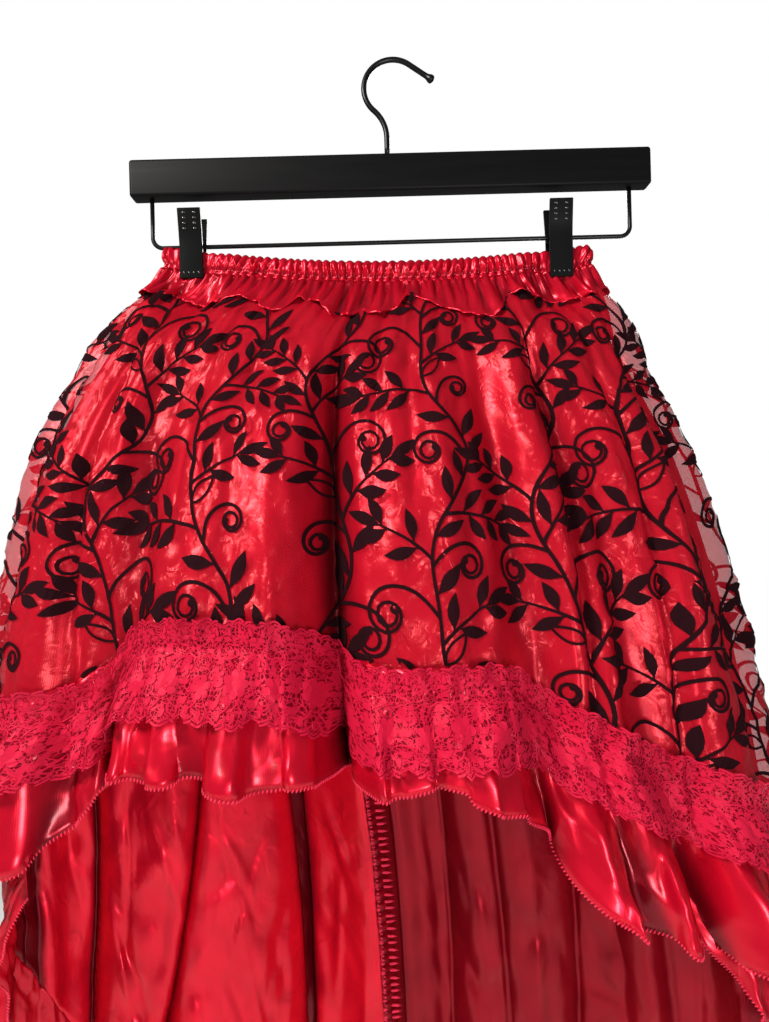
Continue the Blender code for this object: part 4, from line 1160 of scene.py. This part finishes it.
def ruffleReach(angle, below):
    part = np.clip(below / ruffle["length"], 0, 1.3)
    big = ruffle["wave"] * unevenWaves(angle, 141, ruffle["waves"], 1.2) * part
    turns = ruffleTurn(angle, part) * smoothStep(part / 0.75)
    pulled = ruffle["gather"] * (gathers(angle, 41, 96, 1.2) - 0.6)
    pulled = pulled * np.exp(-part / 0.32) * smoothStep(part / 0.04)
    middle = ruffle["middle"] * (gathers(angle + 3.5 * part, 43, 58, 1.4) - 0.6)
    middle = middle * np.sin(math.pi * np.clip(part, 0, 1) ** 0.7)
    low = ruffle["low"] * unevenWaves(angle - 3 * part, 47, 50, 1.2) * part
    rough = ruffle["crumple"] * crumple(angle, below * 1.3, 103, 15.0) * smoothStep(part / 0.25)
    return ruffle["flare"] * part + big + turns + pulled + middle + low + rough


# Painted shade of the ruffle: darker where its waves and turns dip in
def ruffleShade(angle, below):
    hollow = -ruffleReach(angle, below) + ruffle["flare"] * np.clip(below / ruffle["length"], 0, 1.3)
    return smoothStep((hollow - 0.001) / 0.013)


# The big waves lean over, so that their crests are round and their valleys close up
def ruffleCurl(angle, below):
    part = np.clip(below / ruffle["length"], 0, 1.2)
    phase = unevenPhase(angle, 141, ruffle["waves"], 1.2)
    return angle + ruffle["curl"] * np.sin(2 * phase) * part ** 1.2


# Overlock stitches along a row of points; the row of a ring closes
def stitchEdge(name, points, closes, pitch, size, slant):
    count = len(points)
    edges = [(k, (k + 1) % count) for k in range(count if closes else count - 1)]
    stitches = runTree(name, overlockStitches, {
        "Pitch": pitch, "Size": size, "Slant": slant, "Material": thread}, points, edges)
    finish(stitches, "satin")


def makeRuffle():
    angle = np.linspace(-180.0, 180.0, ruffle["columns"], endpoint=False)[None, :]
    part = np.linspace(-0.02, 1.0, ruffle["rows"])[:, None]
    hem = curveRound(angle, overlayHem)
    longer = curveRound(angle, ruffleExtra) * mm + ruffle["uneven"] * unevenWaves(angle, 53, 19)
    below = part * (ruffle["length"] + longer * (part > 0))
    drop, reach, curled = hem + below, ruffleReach(angle, below), ruffleCurl(angle, below)
    flat = flatPlaces(angle * 1.5, hem + part * ruffle["length"])
    shade = 0.9 * ruffleShade(angle, below)
    made = clothSheet(
        "overlayRuffle", curled, drop, reach, ruffle["wall"], ruffleSatin, True, flat, shade)
    finish(made, "satin", "overlay_ruffle_front", "overlay_ruffle_back_right",
           "overlay_ruffle_back_left")
    edge = formPoints(curled[-1], drop[-1], reach[-1] - ruffle["wall"] / 2)
    stitchEdge("overlayRuffleStitches", edge, True, stitching["pitch"], ruffle["stitch"],
               stitching["slant"])


# Lace over the seam of the ruffle

lace = {
    "head": 0.014, "fall": 0.035, "pitch": 6.0, "wall": 0.0003, "columns": 900, "rows": 25,
    "tile": 44.0, "tiles": 31, "cord": 0.8, "stand": 0.0060, "flute": 0.0028,
    "startX": -0.66, "lift": 0.00005,
}


def laceReach(angle, drop, hem, height):
    # height: distance above the gathering line, below zero under it
    up = np.clip(height / lace["head"], 0, 1.25)
    down = np.clip(-height / lace["fall"], 0, 1.15)
    small = unevenWaves(angle, 61, 78, 1.4)
    other = gathers(angle + 2.0 * down, 63, 54, 1.4) - 0.6
    lift = up * (lace["stand"] + 0.0030 * small) + 0.0012 * np.sin(math.pi * down)
    lift = lift + down * (0.0018 + lace["flute"] * (0.55 + 0.45 * small) + lace["flute"] * other * 0.8)
    pleat = 0.0010 * (gathers(angle, 67, 120) - 0.5) * np.exp(-np.abs(height) / 0.006)
    return ruffleReach(angle, drop - hem) + 0.0019 + lift + pleat + down * 0.0025


def laceGrid(columns, rows, closes, extra=0.0):
    angle = np.linspace(-180.0, 180.0, columns, endpoint=not closes)[None, :]
    line = curveRound(angle, overlayHem, 2)
    turn = np.radians(angle * 180 / lace["pitch"])
    bow = 1 - np.abs(np.sin(turn))
    small = 1 - np.abs(np.sin(3 * turn))
    top = lace["head"] + 0.003 - 0.0022 * bow - 0.0012 * small + extra
    bottom = -(lace["fall"] + 0.0035 - 0.0030 * bow - 0.0014 * small) - extra
    part = np.linspace(0.0, 1.0, rows)[:, None]
    height = top + (bottom - top) * part
    drop = line - height
    hem = curveRound(angle, overlayHem)
    reach = laceReach(angle, drop, hem, height)
    flat = np.stack([angle / lace["pitch"] * 0.022 + 0 * height, height + 0 * angle], axis=-1)
    return ruffleCurl(angle, drop - hem), drop, reach, flat


def laceFlower(motif, x, y, size, petals, turn):
    for k in range(petals):
        way = turn + 360 / petals * k
        motif.leaf(x, y, way, 6.6 * size, 4.2 * size, 0, petalForm)
    motif.disc(x, y, 1.5 * size)


# One tile of figured yarns: two flowers with sprigs and buds, and the two scalloped edges
def laceMotif():
    motif = Motif(0.5)
    tile, cord = lace["tile"], lace["cord"]
    for k in (0, 1):
        x = tile * (0.25 + 0.5 * k)
        laceFlower(motif, x, -17 - 2 * k, 1.15 - 0.15 * k, 7 - k, 12 * k)
        laceFlower(motif, x + 11, -10 - 3 * k, 0.62, 5, 33 * k)
        laceFlower(motif, x + 2, 6.5, 0.60, 5, 20)
        for side in (1, -1):
            motif.trail(x + side * 3, -9.5, 90 - side * 30, 13, -side * 6, -side * 14, cord, cord, 7)
            motif.leaf(x + side * 8.5, -8, 90 - side * 50, 6.5, 3.2, 0)
            motif.leaf(x + side * 7.5, -24.5, -90 + side * 50, 6.8, 3.4, 0)
            motif.leaf(x + side * 9.5, -18, 90 - side * 70, 5.8, 3.2, 0)
            motif.trail(x + side * 2, -25.5, -90 + side * 30, 12, side * 5, side * 16, cord, cord, 6)
            motif.leaf(x + side * 5.5, 5.0, 90 - side * 75, 5.6, 2.8, 0)
    for edge, sign in ((-35.5, -1), (14.0, 1)):
        for k in range(6):
            centre, t = tile / 6 * (k + 0.5), np.linspace(-0.5, 0.5, 7)
            out = 0.4 + 2.2 * abs(math.sin(math.pi * centre / (tile / 2)))
            for inset, width in ((0.0, 1.0), (2.0, 0.6)):
                bowed = np.stack([centre + t * (tile / 6 - 0.2),
                                  edge + sign * (out - 1.2 - inset + 1.6 * np.cos(t * math.pi))], axis=1)
                motif.ribbon(bowed, np.full(7, width))
            motif.disc(centre, edge + sign * (out - 1.4), 0.8, 6)
            motif.leaf(centre, edge + sign * (out - 3.4), -90 * sign, 4.6, 2.4, 0, petalForm)
    for k in range(4):  # short bars beside the gathering line
        motif.ribbon([(11.0 * k, -3.0), (11.0 * k + 5.5, -5.0), (11.0 * k + 11.0, -3.0)], [cord] * 3)
    return motif.makeObject("laceMotif")


def makeLace():
    angle, drop, reach, flat = laceGrid(lace["columns"], lace["rows"], True)
    made = clothSheet("laceTrim", angle, drop, reach, lace["wall"], laceNet, True, flat)
    guide = clothGuide("laceGuide", *laceGrid(1200, 34, False, 0.001))
    motif = laceMotif()
    figures = runTree("laceFigures", motifOnCloth, {
        "Motif": motif, "Cloth": guide, "Columns": lace["tiles"], "Rows": 1,
        "Pitch X": lace["tile"] * mm, "Pitch Y": 0.1, "Start X": lace["startX"], "Start Y": 0.0,
        "Half Drop": 0.0, "Lift": lace["lift"], "Material": laceCord})
    for spare in (guide, motif):
        bpy.data.objects.remove(spare)
    finish(made, "lace", "lace_trim")
    finish(figures, "lace")


# Satin underskirt, short in front and long behind

underskirt = {
    "high": 0.292, "fall": 0.533, "angle": -5.0, "power": 1.3, "wall": 0.0005, "insetTop": 0.0022,
    "inset": 0.0030, "sideInset": 0.0080, "settling": 0.050, "soft": 0.0010, "backCrumple": 0.0075,
    "tuck": 0.002,  # how far its head goes up behind the casing
    "headRun": 0.011, "headInset": 0.0014,  # the head lies further in, behind the yoke
}

# folds of the hanging back that stand in toward the wearer: their two edges at a drop of 0.40
# and at a drop of 0.57, height in millimetres, squareness, and how far each edge leans over
backFolds = (
    (100.0, 119.6, 101.0, 118.6, 8.0, 4.0, 0.3, 0.3),
    (120.6, 138.0, 120.0, 139.5, 9.0, 5.0, 0.3, 0.4),
    (138.8, 156.0, 140.5, 155.5, 11.0, 5.0, 0.4, 0.5),
    (157.0, 167.4, 156.5, 168.4, 6.0, 4.0, 0.3, 0.3),
    (168.0, 179.4, 169.0, 179.2, 7.0, 4.0, 0.3, 0.0),
    (180.8, 199.6, 180.8, 200.2, 17.0, 8.0, 0.0, 1.7),
    (204.2, 224.3, 203.6, 235.3, 20.0, 9.0, 1.7, 1.0),
    (224.7, 247.0, 235.7, 250.0, 20.0, 9.0, 1.0, 0.5),
    (247.6, 262.0, 250.6, 263.0, 11.0, 4.0, 0.4, 0.0),
)

# creases of the hanging back, seen from inside: as for bodyCreases
backCreases = (
    (249.0, 240.0, 0.420, 0.620, 1.0, -3.0),
    (240.0, 244.0, 0.380, 0.520, 0.9, 2.4),
    (236.0, 229.0, 0.390, 0.500, 1.3, -3.0),
    (231.0, 240.0, 0.500, 0.640, 1.2, 3.0),
    (221.0, 213.0, 0.400, 0.470, 1.2, -2.6),
    (212.0, 223.0, 0.450, 0.530, 1.1, -2.8),
    (217.0, 211.0, 0.500, 0.620, 1.0, -2.6),
    (208.0, 214.0, 0.550, 0.680, 1.2, 2.4),
    (196.0, 190.0, 0.400, 0.470, 1.1, -3.4),
    (193.0, 196.5, 0.450, 0.580, 1.2, -3.2),
    (189.0, 192.0, 0.520, 0.760, 1.4, -4.0),
    (228.0, 243.0, 0.405, 0.465, 1.7, -3.4),
    (232.0, 246.0, 0.350, 0.415, 1.5, 2.8),
    (246.0, 238.0, 0.475, 0.560, 1.3, 3.4),
    (238.0, 246.0, 0.540, 0.640, 1.5, -3.6),
    (207.0, 216.0, 0.395, 0.455, 1.5, 3.2),
    (206.0, 213.0, 0.470, 0.560, 1.3, 3.4),
    (222.0, 214.0, 0.520, 0.590, 1.4, 3.0),
    (186.0, 197.0, 0.420, 0.475, 1.4, 3.6),
    (198.0, 190.0, 0.480, 0.535, 1.3, 3.0),
    (172.0, 170.0, 0.380, 0.780, 1.8, -2.5),
    (160.0, 157.0, 0.400, 0.800, 1.6, 3.0),
    (148.0, 150.0, 0.420, 0.780, 1.8, -3.0),
    (131.0, 127.0, 0.420, 0.800, 1.6, 3.0),
    (112.0, 115.0, 0.420, 0.700, 1.6, -3.0),
)


# Reach of the folds, the sideways lean of their edges in degrees, and the painted shade in the
# gaps between them, 0 to 1
def backFold(angle, drop):
    reach = np.zeros(np.broadcast(angle, drop).shape)
    lean, cover = reach.copy(), reach.copy()
    way = np.clip((drop - 0.40) / 0.17, -0.4, 1.5)
    grown = smoothStep((drop - 0.12) / 0.26)
    for start, end, lowStart, lowEnd, height, square, startLean, endLean in backFolds:
        first, last = start + (lowStart - start) * way, end + (lowEnd - end) * way
        place = np.clip(2 * (angle - first) / (last - first) - 1, -1.0, 1.0)
        rise = (1 - np.abs(place) ** square) * grown
        cover = np.maximum(cover, 1 - np.abs(place) ** square)
        reach = reach - height * mm * rise
        lean = lean + np.where(place > 0, endLean, -startLean) * np.abs(place) ** 4 * smoothStep(rise * 3)
    return reach, lean, smoothStep((0.70 - cover) / 0.65) * grown


def underskirtHem(angle):
    turn = np.radians(angle - underskirt["angle"])
    return underskirt["high"] + underskirt["fall"] * ((1 - np.cos(turn)) / 2) ** underskirt["power"]


def underskirtReach(angle, drop):
    belowYoke = drop - curveRound(angle, yokeEdge)
    settle = smoothStep(belowYoke / underskirt["settling"])
    hem = curveRound(angle, overlayHem)
    covered = 1 - smoothStep((drop - hem) / ruffle["length"])
    side = np.abs(np.sin(np.radians(angle))) ** 8 * covered
    base = -(underskirt["insetTop"] + settle * (underskirt["inset"] + underskirt["sideInset"] * side))
    base = base - underskirt["headInset"] * np.clip(-belowYoke / underskirt["headRun"], 0, 1)
    free = smoothStep((drop - hem + 0.06) / 0.10)
    soft = underskirt["soft"] * unevenWaves(angle + 25 * drop, 71, 26) * free
    rough = underskirt["backCrumple"] * crumple(angle, drop * 0.8, 109, 22.0) * free
    around = angle % 360.0
    return base + soft + rough + creaseReach(around, drop, backCreases) + backFold(around, drop)[0]


def makeUnderskirt():
    panels = (
        # name, from angle, to angle, columns, rows, cloth, share of the painted shade between its folds
        ("front", -93.0, 93.0, 210, 60, satin, 1.0),
        ("back_right", 93.0, 180.0, 160, 86, paintedShadeSatin, 0.25),
        ("back_left", 180.0, 267.0, 262, 92, creasedSatin, 1.0),
    )
    for name, first, last, columns, rows, cloth, gapShadeShare in panels:
        angle = np.linspace(first, last, columns)[None, :]
        part = np.linspace(0.0, 1.0, rows)[:, None]
        top = casing["height"] - underskirt["tuck"]
        drop = top + (underskirtHem(angle) - top) * part
        reach = underskirtReach(angle, drop)
        _, lean, gap = backFold(angle % 360.0, drop)
        made = clothSheet(
            "underskirt_panel_" + name, angle + lean, drop, reach, underskirt["wall"], cloth, False,
            flatPlaces(angle, drop), bodyShade(angle, drop), gapShadeShare * gap)
        finish(made, "satin", "underskirt_" + name)


# Ruffle on the train's hem

train = {
    "length": 0.074, "flare": 0.009, "wave": 0.0070, "waves": 30, "curl": 0.7, "wall": 0.0004,
    "from": 45.0, "to": 294.0, "taper": 18.0, "tip": 0.35, "calmEnds": 4.0, "gather": 0.0030,
    "ripple": 0.0034, "crumple": 0.0055, "columnsPerDegree": 2.6, "rows": 22,
    "stitch": (0.0006, 0.0006, 0.0013),
}


def makeTrainRuffle():
    for name, first, last in (("right", train["from"], 180.0), ("left", 180.0, train["to"])):
        columns = int((last - first) * train["columnsPerDegree"])
        angle = np.linspace(first, last, columns)[None, :]
        part = np.linspace(0.0, 1.0, train["rows"])[:, None]
        along = angle - train["from"]
        taper = np.minimum(along, train["to"] - train["from"] - along) / train["taper"]
        length = train["length"] * (train["tip"] + (1 - train["tip"]) * smoothStep(taper))
        ends = smoothStep((angle - first) / train["calmEnds"])
        ends = ends * smoothStep((last - angle) / train["calmEnds"])
        seam = underskirtHem(angle)
        below = length * part
        share = below / train["length"]
        wave = train["wave"] * unevenWaves(angle, 143, train["waves"], 1.2)
        pulled = train["gather"] * (gathers(angle, 83, 104, 1.2) - 0.6)
        pulled = pulled * np.exp(-part / 0.32) * smoothStep(part / 0.04)
        ripple = train["ripple"] * unevenWaves(angle + 3 * part, 89, 56, 1.2) * part ** 0.8
        rough = train["crumple"] * crumple(angle, part * 0.10, 113, 15.0) * smoothStep(part / 0.25) * ends
        reach = underskirtReach(angle, seam) + (train["flare"] + wave) * share + pulled + ripple + rough
        drop = seam - 0.001 + below
        phase = unevenPhase(angle, 143, train["waves"], 1.2)
        curled = angle + train["curl"] * np.sin(2 * phase) * part * ends + backFold(angle, seam)[1]
        flat = flatPlaces(angle * 1.5, drop)
        # painted shade: darker in the hollows of the big waves, growing toward the hem
        shade = 0.8 * smoothStep((-wave / train["wave"] - 0.1) / 0.8) * part
        made = clothSheet("train_ruffle_piece_" + name, curled, drop, reach, train["wall"],
                          ruffleSatin, False, flat, shade)
        finish(made, "satin", "train_ruffle_" + name)
        edge = formPoints(curled[-1], drop[-1], reach[-1] - train["wall"] / 2)
        stitchEdge("train_stitches_" + name, edge, False, stitching["pitch"], train["stitch"],
                   stitching["slant"])


# Seam allowance inside the middle back, overlocked on its free edge

seamStrip = {
    "from": 180.4, "to": 185.2, "wall": 0.0006, "gap": 0.0009, "pucker": 0.0018, "puckers": 88,
    "stand": 0.0022, "startBelow": 0.05, "endAbove": 0.004, "columns": 12, "rows": 340, "slant": 0.12,
}

# name, column of the strip, spacing, size of a stitch
seamStitches = (
    ("free", 10, 0.0030, (0.0009, 0.0007, 0.0020)),
    ("rungs", 6, 0.0062, (0.0014, 0.0012, 0.0078)),
)


def makeBackSeam():
    angle = np.linspace(seamStrip["from"], seamStrip["to"], seamStrip["columns"])[None, :]
    part = np.linspace(0.0, 1.0, seamStrip["rows"])[:, None]
    top = curveRound(angle, yokeEdge) + seamStrip["startBelow"]
    drop = top + (underskirtHem(angle) - seamStrip["endAbove"] - top) * part
    free = (angle - seamStrip["from"]) / (seamStrip["to"] - seamStrip["from"])
    along = part * 2 * math.pi * seamStrip["puckers"] + 2 * np.sin(part * 30)
    pucker = seamStrip["pucker"] * np.sin(along) * free
    reach = underskirtReach(angle, drop) - underskirt["wall"] - seamStrip["gap"]
    reach = reach - seamStrip["stand"] * free + pucker
    # painted shade: darker where each pucker bulges outward
    shade = 0.7 * smoothStep((pucker / seamStrip["pucker"] + 0.1) / 0.9)
    made = clothSheet("backSeamAllowance", angle, drop, reach, seamStrip["wall"], paintedShadeSatin,
                      False, None, shade)
    finish(made, "satin", "back_seam_allowance")
    for label, column, pitch, size in seamStitches:
        edge = formPoints(angle[0, column], drop[:, 0], reach[:, column] - seamStrip["wall"])
        stitchEdge("backSeamStitches_" + label, edge, False, pitch, size, seamStrip["slant"])


# Hanger

def tube(name, path, radii, sides, material):
    path = np.asarray(path, dtype=float)
    along = np.gradient(path, axis=0)
    along /= np.linalg.norm(along, axis=1)[:, None]
    across = np.stack([-along[:, 1], along[:, 0]], axis=1)
    turn = 2 * math.pi * np.arange(sides) / sides
    shift = np.cos(turn)[None, :] * np.asarray(radii)[:, None]
    depth = np.sin(turn)[None, :] * np.asarray(radii)[:, None]
    points = np.stack([path[:, :1] + across[:, :1] * shift, depth,
                       path[:, 1:] + across[:, 1:] * shift], axis=-1).reshape(-1, 3)
    faces = []
    for ring in range(0, (len(path) - 1) * sides, sides):
        for k in range(sides):
            beside = (k + 1) % sides
            faces.append((ring + k, ring + beside, ring + sides + beside, ring + sides + k))
    made = meshObject(name, points, faces, material)
    shape = bmesh.new()
    shape.from_mesh(made.data)
    bmesh.ops.holes_fill(shape, edges=shape.edges)
    bmesh.ops.recalc_face_normals(shape, faces=shape.faces)
    shape.to_mesh(made.data)
    shape.free()
    made.data.shade_smooth()
    return made


def arcPoints(x, z, radius, start, end, steps):
    turn = np.radians(np.linspace(start, end, steps))
    return np.stack([x + radius * np.cos(turn), z + radius * np.sin(turn)], axis=1)


# the widened nose of the hook: distance along it, from its tip, and radius at each point
hookNose = (1.02, 1.0, 0.975, 0.94, 0.90, 0.86, 0.80, 0.74, 0.68, 0.5, 0.25)
noseRadii = (0.0004, 0.0016, 0.0025, 0.0029, 0.0030, 0.0029, 0.0024, 0.0020, hanger["hookWire"])


def makeBar():
    low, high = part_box("hanger_bar")
    shape = bmesh.new()
    bmesh.ops.create_cube(shape, size=1.0)
    size, middle = Vector(high) - Vector(low), (Vector(high) + Vector(low)) / 2
    for corner in shape.verts:
        corner.co = Vector([c * s for c, s in zip(corner.co, size)]) + middle
    bmesh.ops.bevel(shape, geom=list(shape.edges), offset=hanger["barEdge"], segments=5, profile=0.5,
                    affect="EDGES")
    finish(shapeObject("hangerBar", shape, lacquer, 50), "black_wood", "hanger_bar")


def makeHook():
    wire, bend, stemX = hanger["hookWire"], hanger["hookBend"], hanger["stemX"]
    arc = arcPoints(0.0, wire - bend, bend, hanger["noseTurn"], hanger["bendEnd"], 60)
    way = np.array([math.sin(math.radians(hanger["noseTurn"])), -math.cos(math.radians(hanger["noseTurn"]))])
    nose = arc[0] + way * (np.array(hookNose) * hanger["noseLength"])[:, None]
    turn = math.radians(hanger["neckTurn"])
    radius = (stemX - arc[-1, 0]) / (1 - math.cos(turn))
    neckZ = arc[-1, 1] - radius * math.sin(turn)
    neck = arcPoints(stemX - radius, neckZ, radius, hanger["neckTurn"], 0.0, 24)
    stem = [[stemX, hanger["barTop"] + hanger["stemLength"]], [stemX, hanger["barTop"]]]
    path = np.concatenate([nose, arc, neck[1:], stem])
    radii = np.full(len(path), wire)
    radii[:len(noseRadii)] = noseRadii
    finish(tube("hook_wire", path, radii, 20, blackWire), "black_wire", "hook")


def makeRail():
    top, half, corner = hanger["barTop"] - hanger["barHeight"], hanger["railHalf"], hanger["railCorner"]
    left = arcPoints(hanger["x"] - half + corner, hanger["railZ"] + corner, corner, 180.0, 270.0, 14)
    right = arcPoints(hanger["x"] + half - corner, hanger["railZ"] + corner, corner, 270.0, 360.0, 14)
    rail = np.concatenate([[[hanger["x"] - half, top]], left, right, [[hanger["x"] + half, top]]])
    radii = np.full(len(rail), hanger["railWire"])
    finish(tube("railWire", rail, radii, 16, blackWire), "black_wire", "clip_rail")


jaw = {
    "width": 0.0160, "wall": 0.0026, "rise": 0.0235, "face": 0.0050, "spread": 0.0045, "edge": 0.0006,
}
spring = {"radius": 0.0036, "wire": 0.0006, "turns": 6.5, "length": 0.0086}
# dots under the thumb, and the row of dots above the gripping edge
thumbDots = {"across": 2, "down": 4, "stepX": 0.0072, "stepZ": 0.0034, "below": 0.0032,
             "size": (0.0015, 0.0006, 0.0008)}
edgeDots = {"across": 4, "stepX": 0.0034, "above": 0.0038, "size": (0.0007, 0.0004, 0.0009)}


def jawMesh(name, clip, side):
    profile = (
        # height from the rail, distance of the inner face from the middle
        (jaw["rise"], jaw["face"] + jaw["spread"]),
        (jaw["rise"] * 0.35, jaw["face"] + jaw["spread"] * 0.3),
        (0.0, jaw["face"]),
        (-clip["drop"], jaw["face"]),
    )
    section = [(side * inner, hanger["railZ"] + rise) for rise, inner in profile]
    section += [(side * (inner + jaw["wall"]), hanger["railZ"] + rise) for rise, inner in reversed(profile)]
    points = [(clip["x"] + end * jaw["width"] / 2, y, z) for end in (-1, 1) for y, z in section]
    count, last = len(section), len(profile) - 1
    faces = [(k, (k + 1) % count, (k + 1) % count + count, k + count) for k in range(count)]
    for start in (0, count):
        end = start + count - 1
        faces += [(start + k, start + k + 1, end - 1 - k, end - k) for k in range(last)]
    shape = bmesh.new()
    corners = [shape.verts.new(p) for p in points]
    for face in faces:
        shape.faces.new([corners[k] for k in face])
    bmesh.ops.recalc_face_normals(shape, faces=shape.faces)
    sharp = [e for e in shape.edges if e.calc_face_angle(0) > math.radians(40)]
    bmesh.ops.bevel(shape, geom=sharp, offset=jaw["edge"], segments=3, profile=0.6, affect="EDGES")
    return shapeObject(name, shape, plastic, 35)


def makeDots(name, dots, first, down, stepDown):
    made = runTree(name, gripDots, {
        "Across": dots["across"], "Down": down, "Step Across": (dots["stepX"], 0.0, 0.0),
        "Step Down": stepDown, "First": first, "Size": dots["size"], "Material": dotPlastic})
    finish(made, "black_plastic")


def makeClips():
    slope = jaw["spread"] * 0.7 / (jaw["rise"] * 0.65)  # lean of the upper part of a jaw
    outer = jaw["face"] + jaw["spread"] + jaw["wall"]
    for place, clip in clips.items():
        for label, side in (("front", -1), ("back", 1)):
            made = jawMesh("jaw_" + place + "_" + label, clip, side)
            finish(made, "black_plastic", "clip_" + place + "_" + label + "_jaw")
            high = hanger["railZ"] + jaw["rise"] - thumbDots["below"]
            first = (clip["x"] - thumbDots["stepX"] / 2, side * (outer - 0.0030 * slope), high)
            down = (0.0, -side * thumbDots["stepZ"] * slope, -thumbDots["stepZ"])
            makeDots("dots_" + place + "_" + label, thumbDots, first, thumbDots["down"], down)
            low = hanger["railZ"] - clip["drop"] + edgeDots["above"]
            first = (clip["x"] - edgeDots["stepX"] * 1.5, side * (jaw["face"] + jaw["wall"]), low)
            makeDots("row_" + place + "_" + label, edgeDots, first, 1, (0.0, 0.0, 0.0))
        coil = runTree("spring_" + place, springCoil, {
            "Radius": spring["radius"], "Wire": spring["wire"], "Turns": spring["turns"],
            "Length": spring["length"], "Material": steel,
            "Place": (clip["x"] - spring["length"] / 2, 0.0, hanger["railZ"])})
        finish(coil, "spring_steel", "clip_" + place + "_spring")


# Build

makeBar()
makeHook()
makeRail()
makeClips()
makeCasing()
makeYoke()
makeOverlay()
makeFlock()
makeRuffle()
makeLace()
makeUnderskirt()
makeTrainRuffle()
makeBackSeam()


# Floor, light and camera

studio = {"floorZ": -1.12, "floorSize": 2.4, "world": 0.20}

# name, place, target, size, power, colour
lights = (
    ("key", (-0.92, -0.84, 0.50), (-0.06, 0.0, -0.42), 0.42, 34.0, (1.0, 0.97, 0.94)),
    ("fill", (0.32, -1.15, -0.52), (-0.12, 0.05, -0.64), 0.3, 11.0, (0.98, 0.98, 1.0)),
    ("back", (0.55, 1.40, 0.35), (0.0, 0.0, -0.55), 0.6, 22.0, (1.0, 1.0, 1.0)),
)

# lens: width of the sensor times the distance of the picture plane in pixels over the height
view = {"place": (-0.0135, -0.538, -0.314), "roll": 1.5, "sensor": 36.0, "planePixels": 768, "pixels": 1022}


def makeFloor():
    half, z = studio["floorSize"] / 2, studio["floorZ"]
    corners = [(-half, -half, z), (half, -half, z), (half, half, z), (-half, half, z)]
    made = meshObject("floor", corners, [(0, 1, 2, 3)], floorMaterial(), False)


def areaLight(name, place, target, size, power, colour):
    data = bpy.data.lights.new(name, "AREA")
    data.shape = "SQUARE"
    data.size = size
    data.energy = power
    data.color = colour
    lamp = linkObject(name, data)
    lamp.location = place
    lamp.rotation_euler = (Vector(target) - Vector(place)).to_track_quat("-Z", "Y").to_euler()


def makeStudio():
    world = bpy.data.worlds.new("softWhite")
    bpy.context.scene.world = world
    world.use_nodes = True
    tree = world.node_tree
    # seen directly the world is white; it lights the object only softly
    seen = addNode(tree, "ShaderNodeLightPath").outputs["Is Camera Ray"]
    strength = addNode(tree, "ShaderNodeMapRange", inputs={
        "Value": seen, "To Min": studio["world"], "To Max": 1.0})
    tree.nodes["Background"].inputs["Color"].default_value = (1.0, 1.0, 1.0, 1.0)
    tree.links.new(strength.outputs[0], tree.nodes["Background"].inputs["Strength"])
    for light in lights:
        areaLight(*light)


def makeCamera():
    data = bpy.data.cameras.new("photoCamera")
    data.sensor_width = view["sensor"]
    data.lens = view["sensor"] * view["planePixels"] / view["pixels"]
    camera = linkObject("photoCamera", data)
    roll = Matrix.Rotation(math.radians(view["roll"]), 4, "Y")
    upright = Matrix.Rotation(math.radians(90), 4, "X")
    camera.matrix_world = Matrix.Translation(view["place"]) @ roll @ upright
    bpy.context.scene.camera = camera


makeFloor()
makeStudio()
makeCamera()
print("floor, lights and camera ready")
bpy.context.scene.view_settings.view_transform = "Standard"
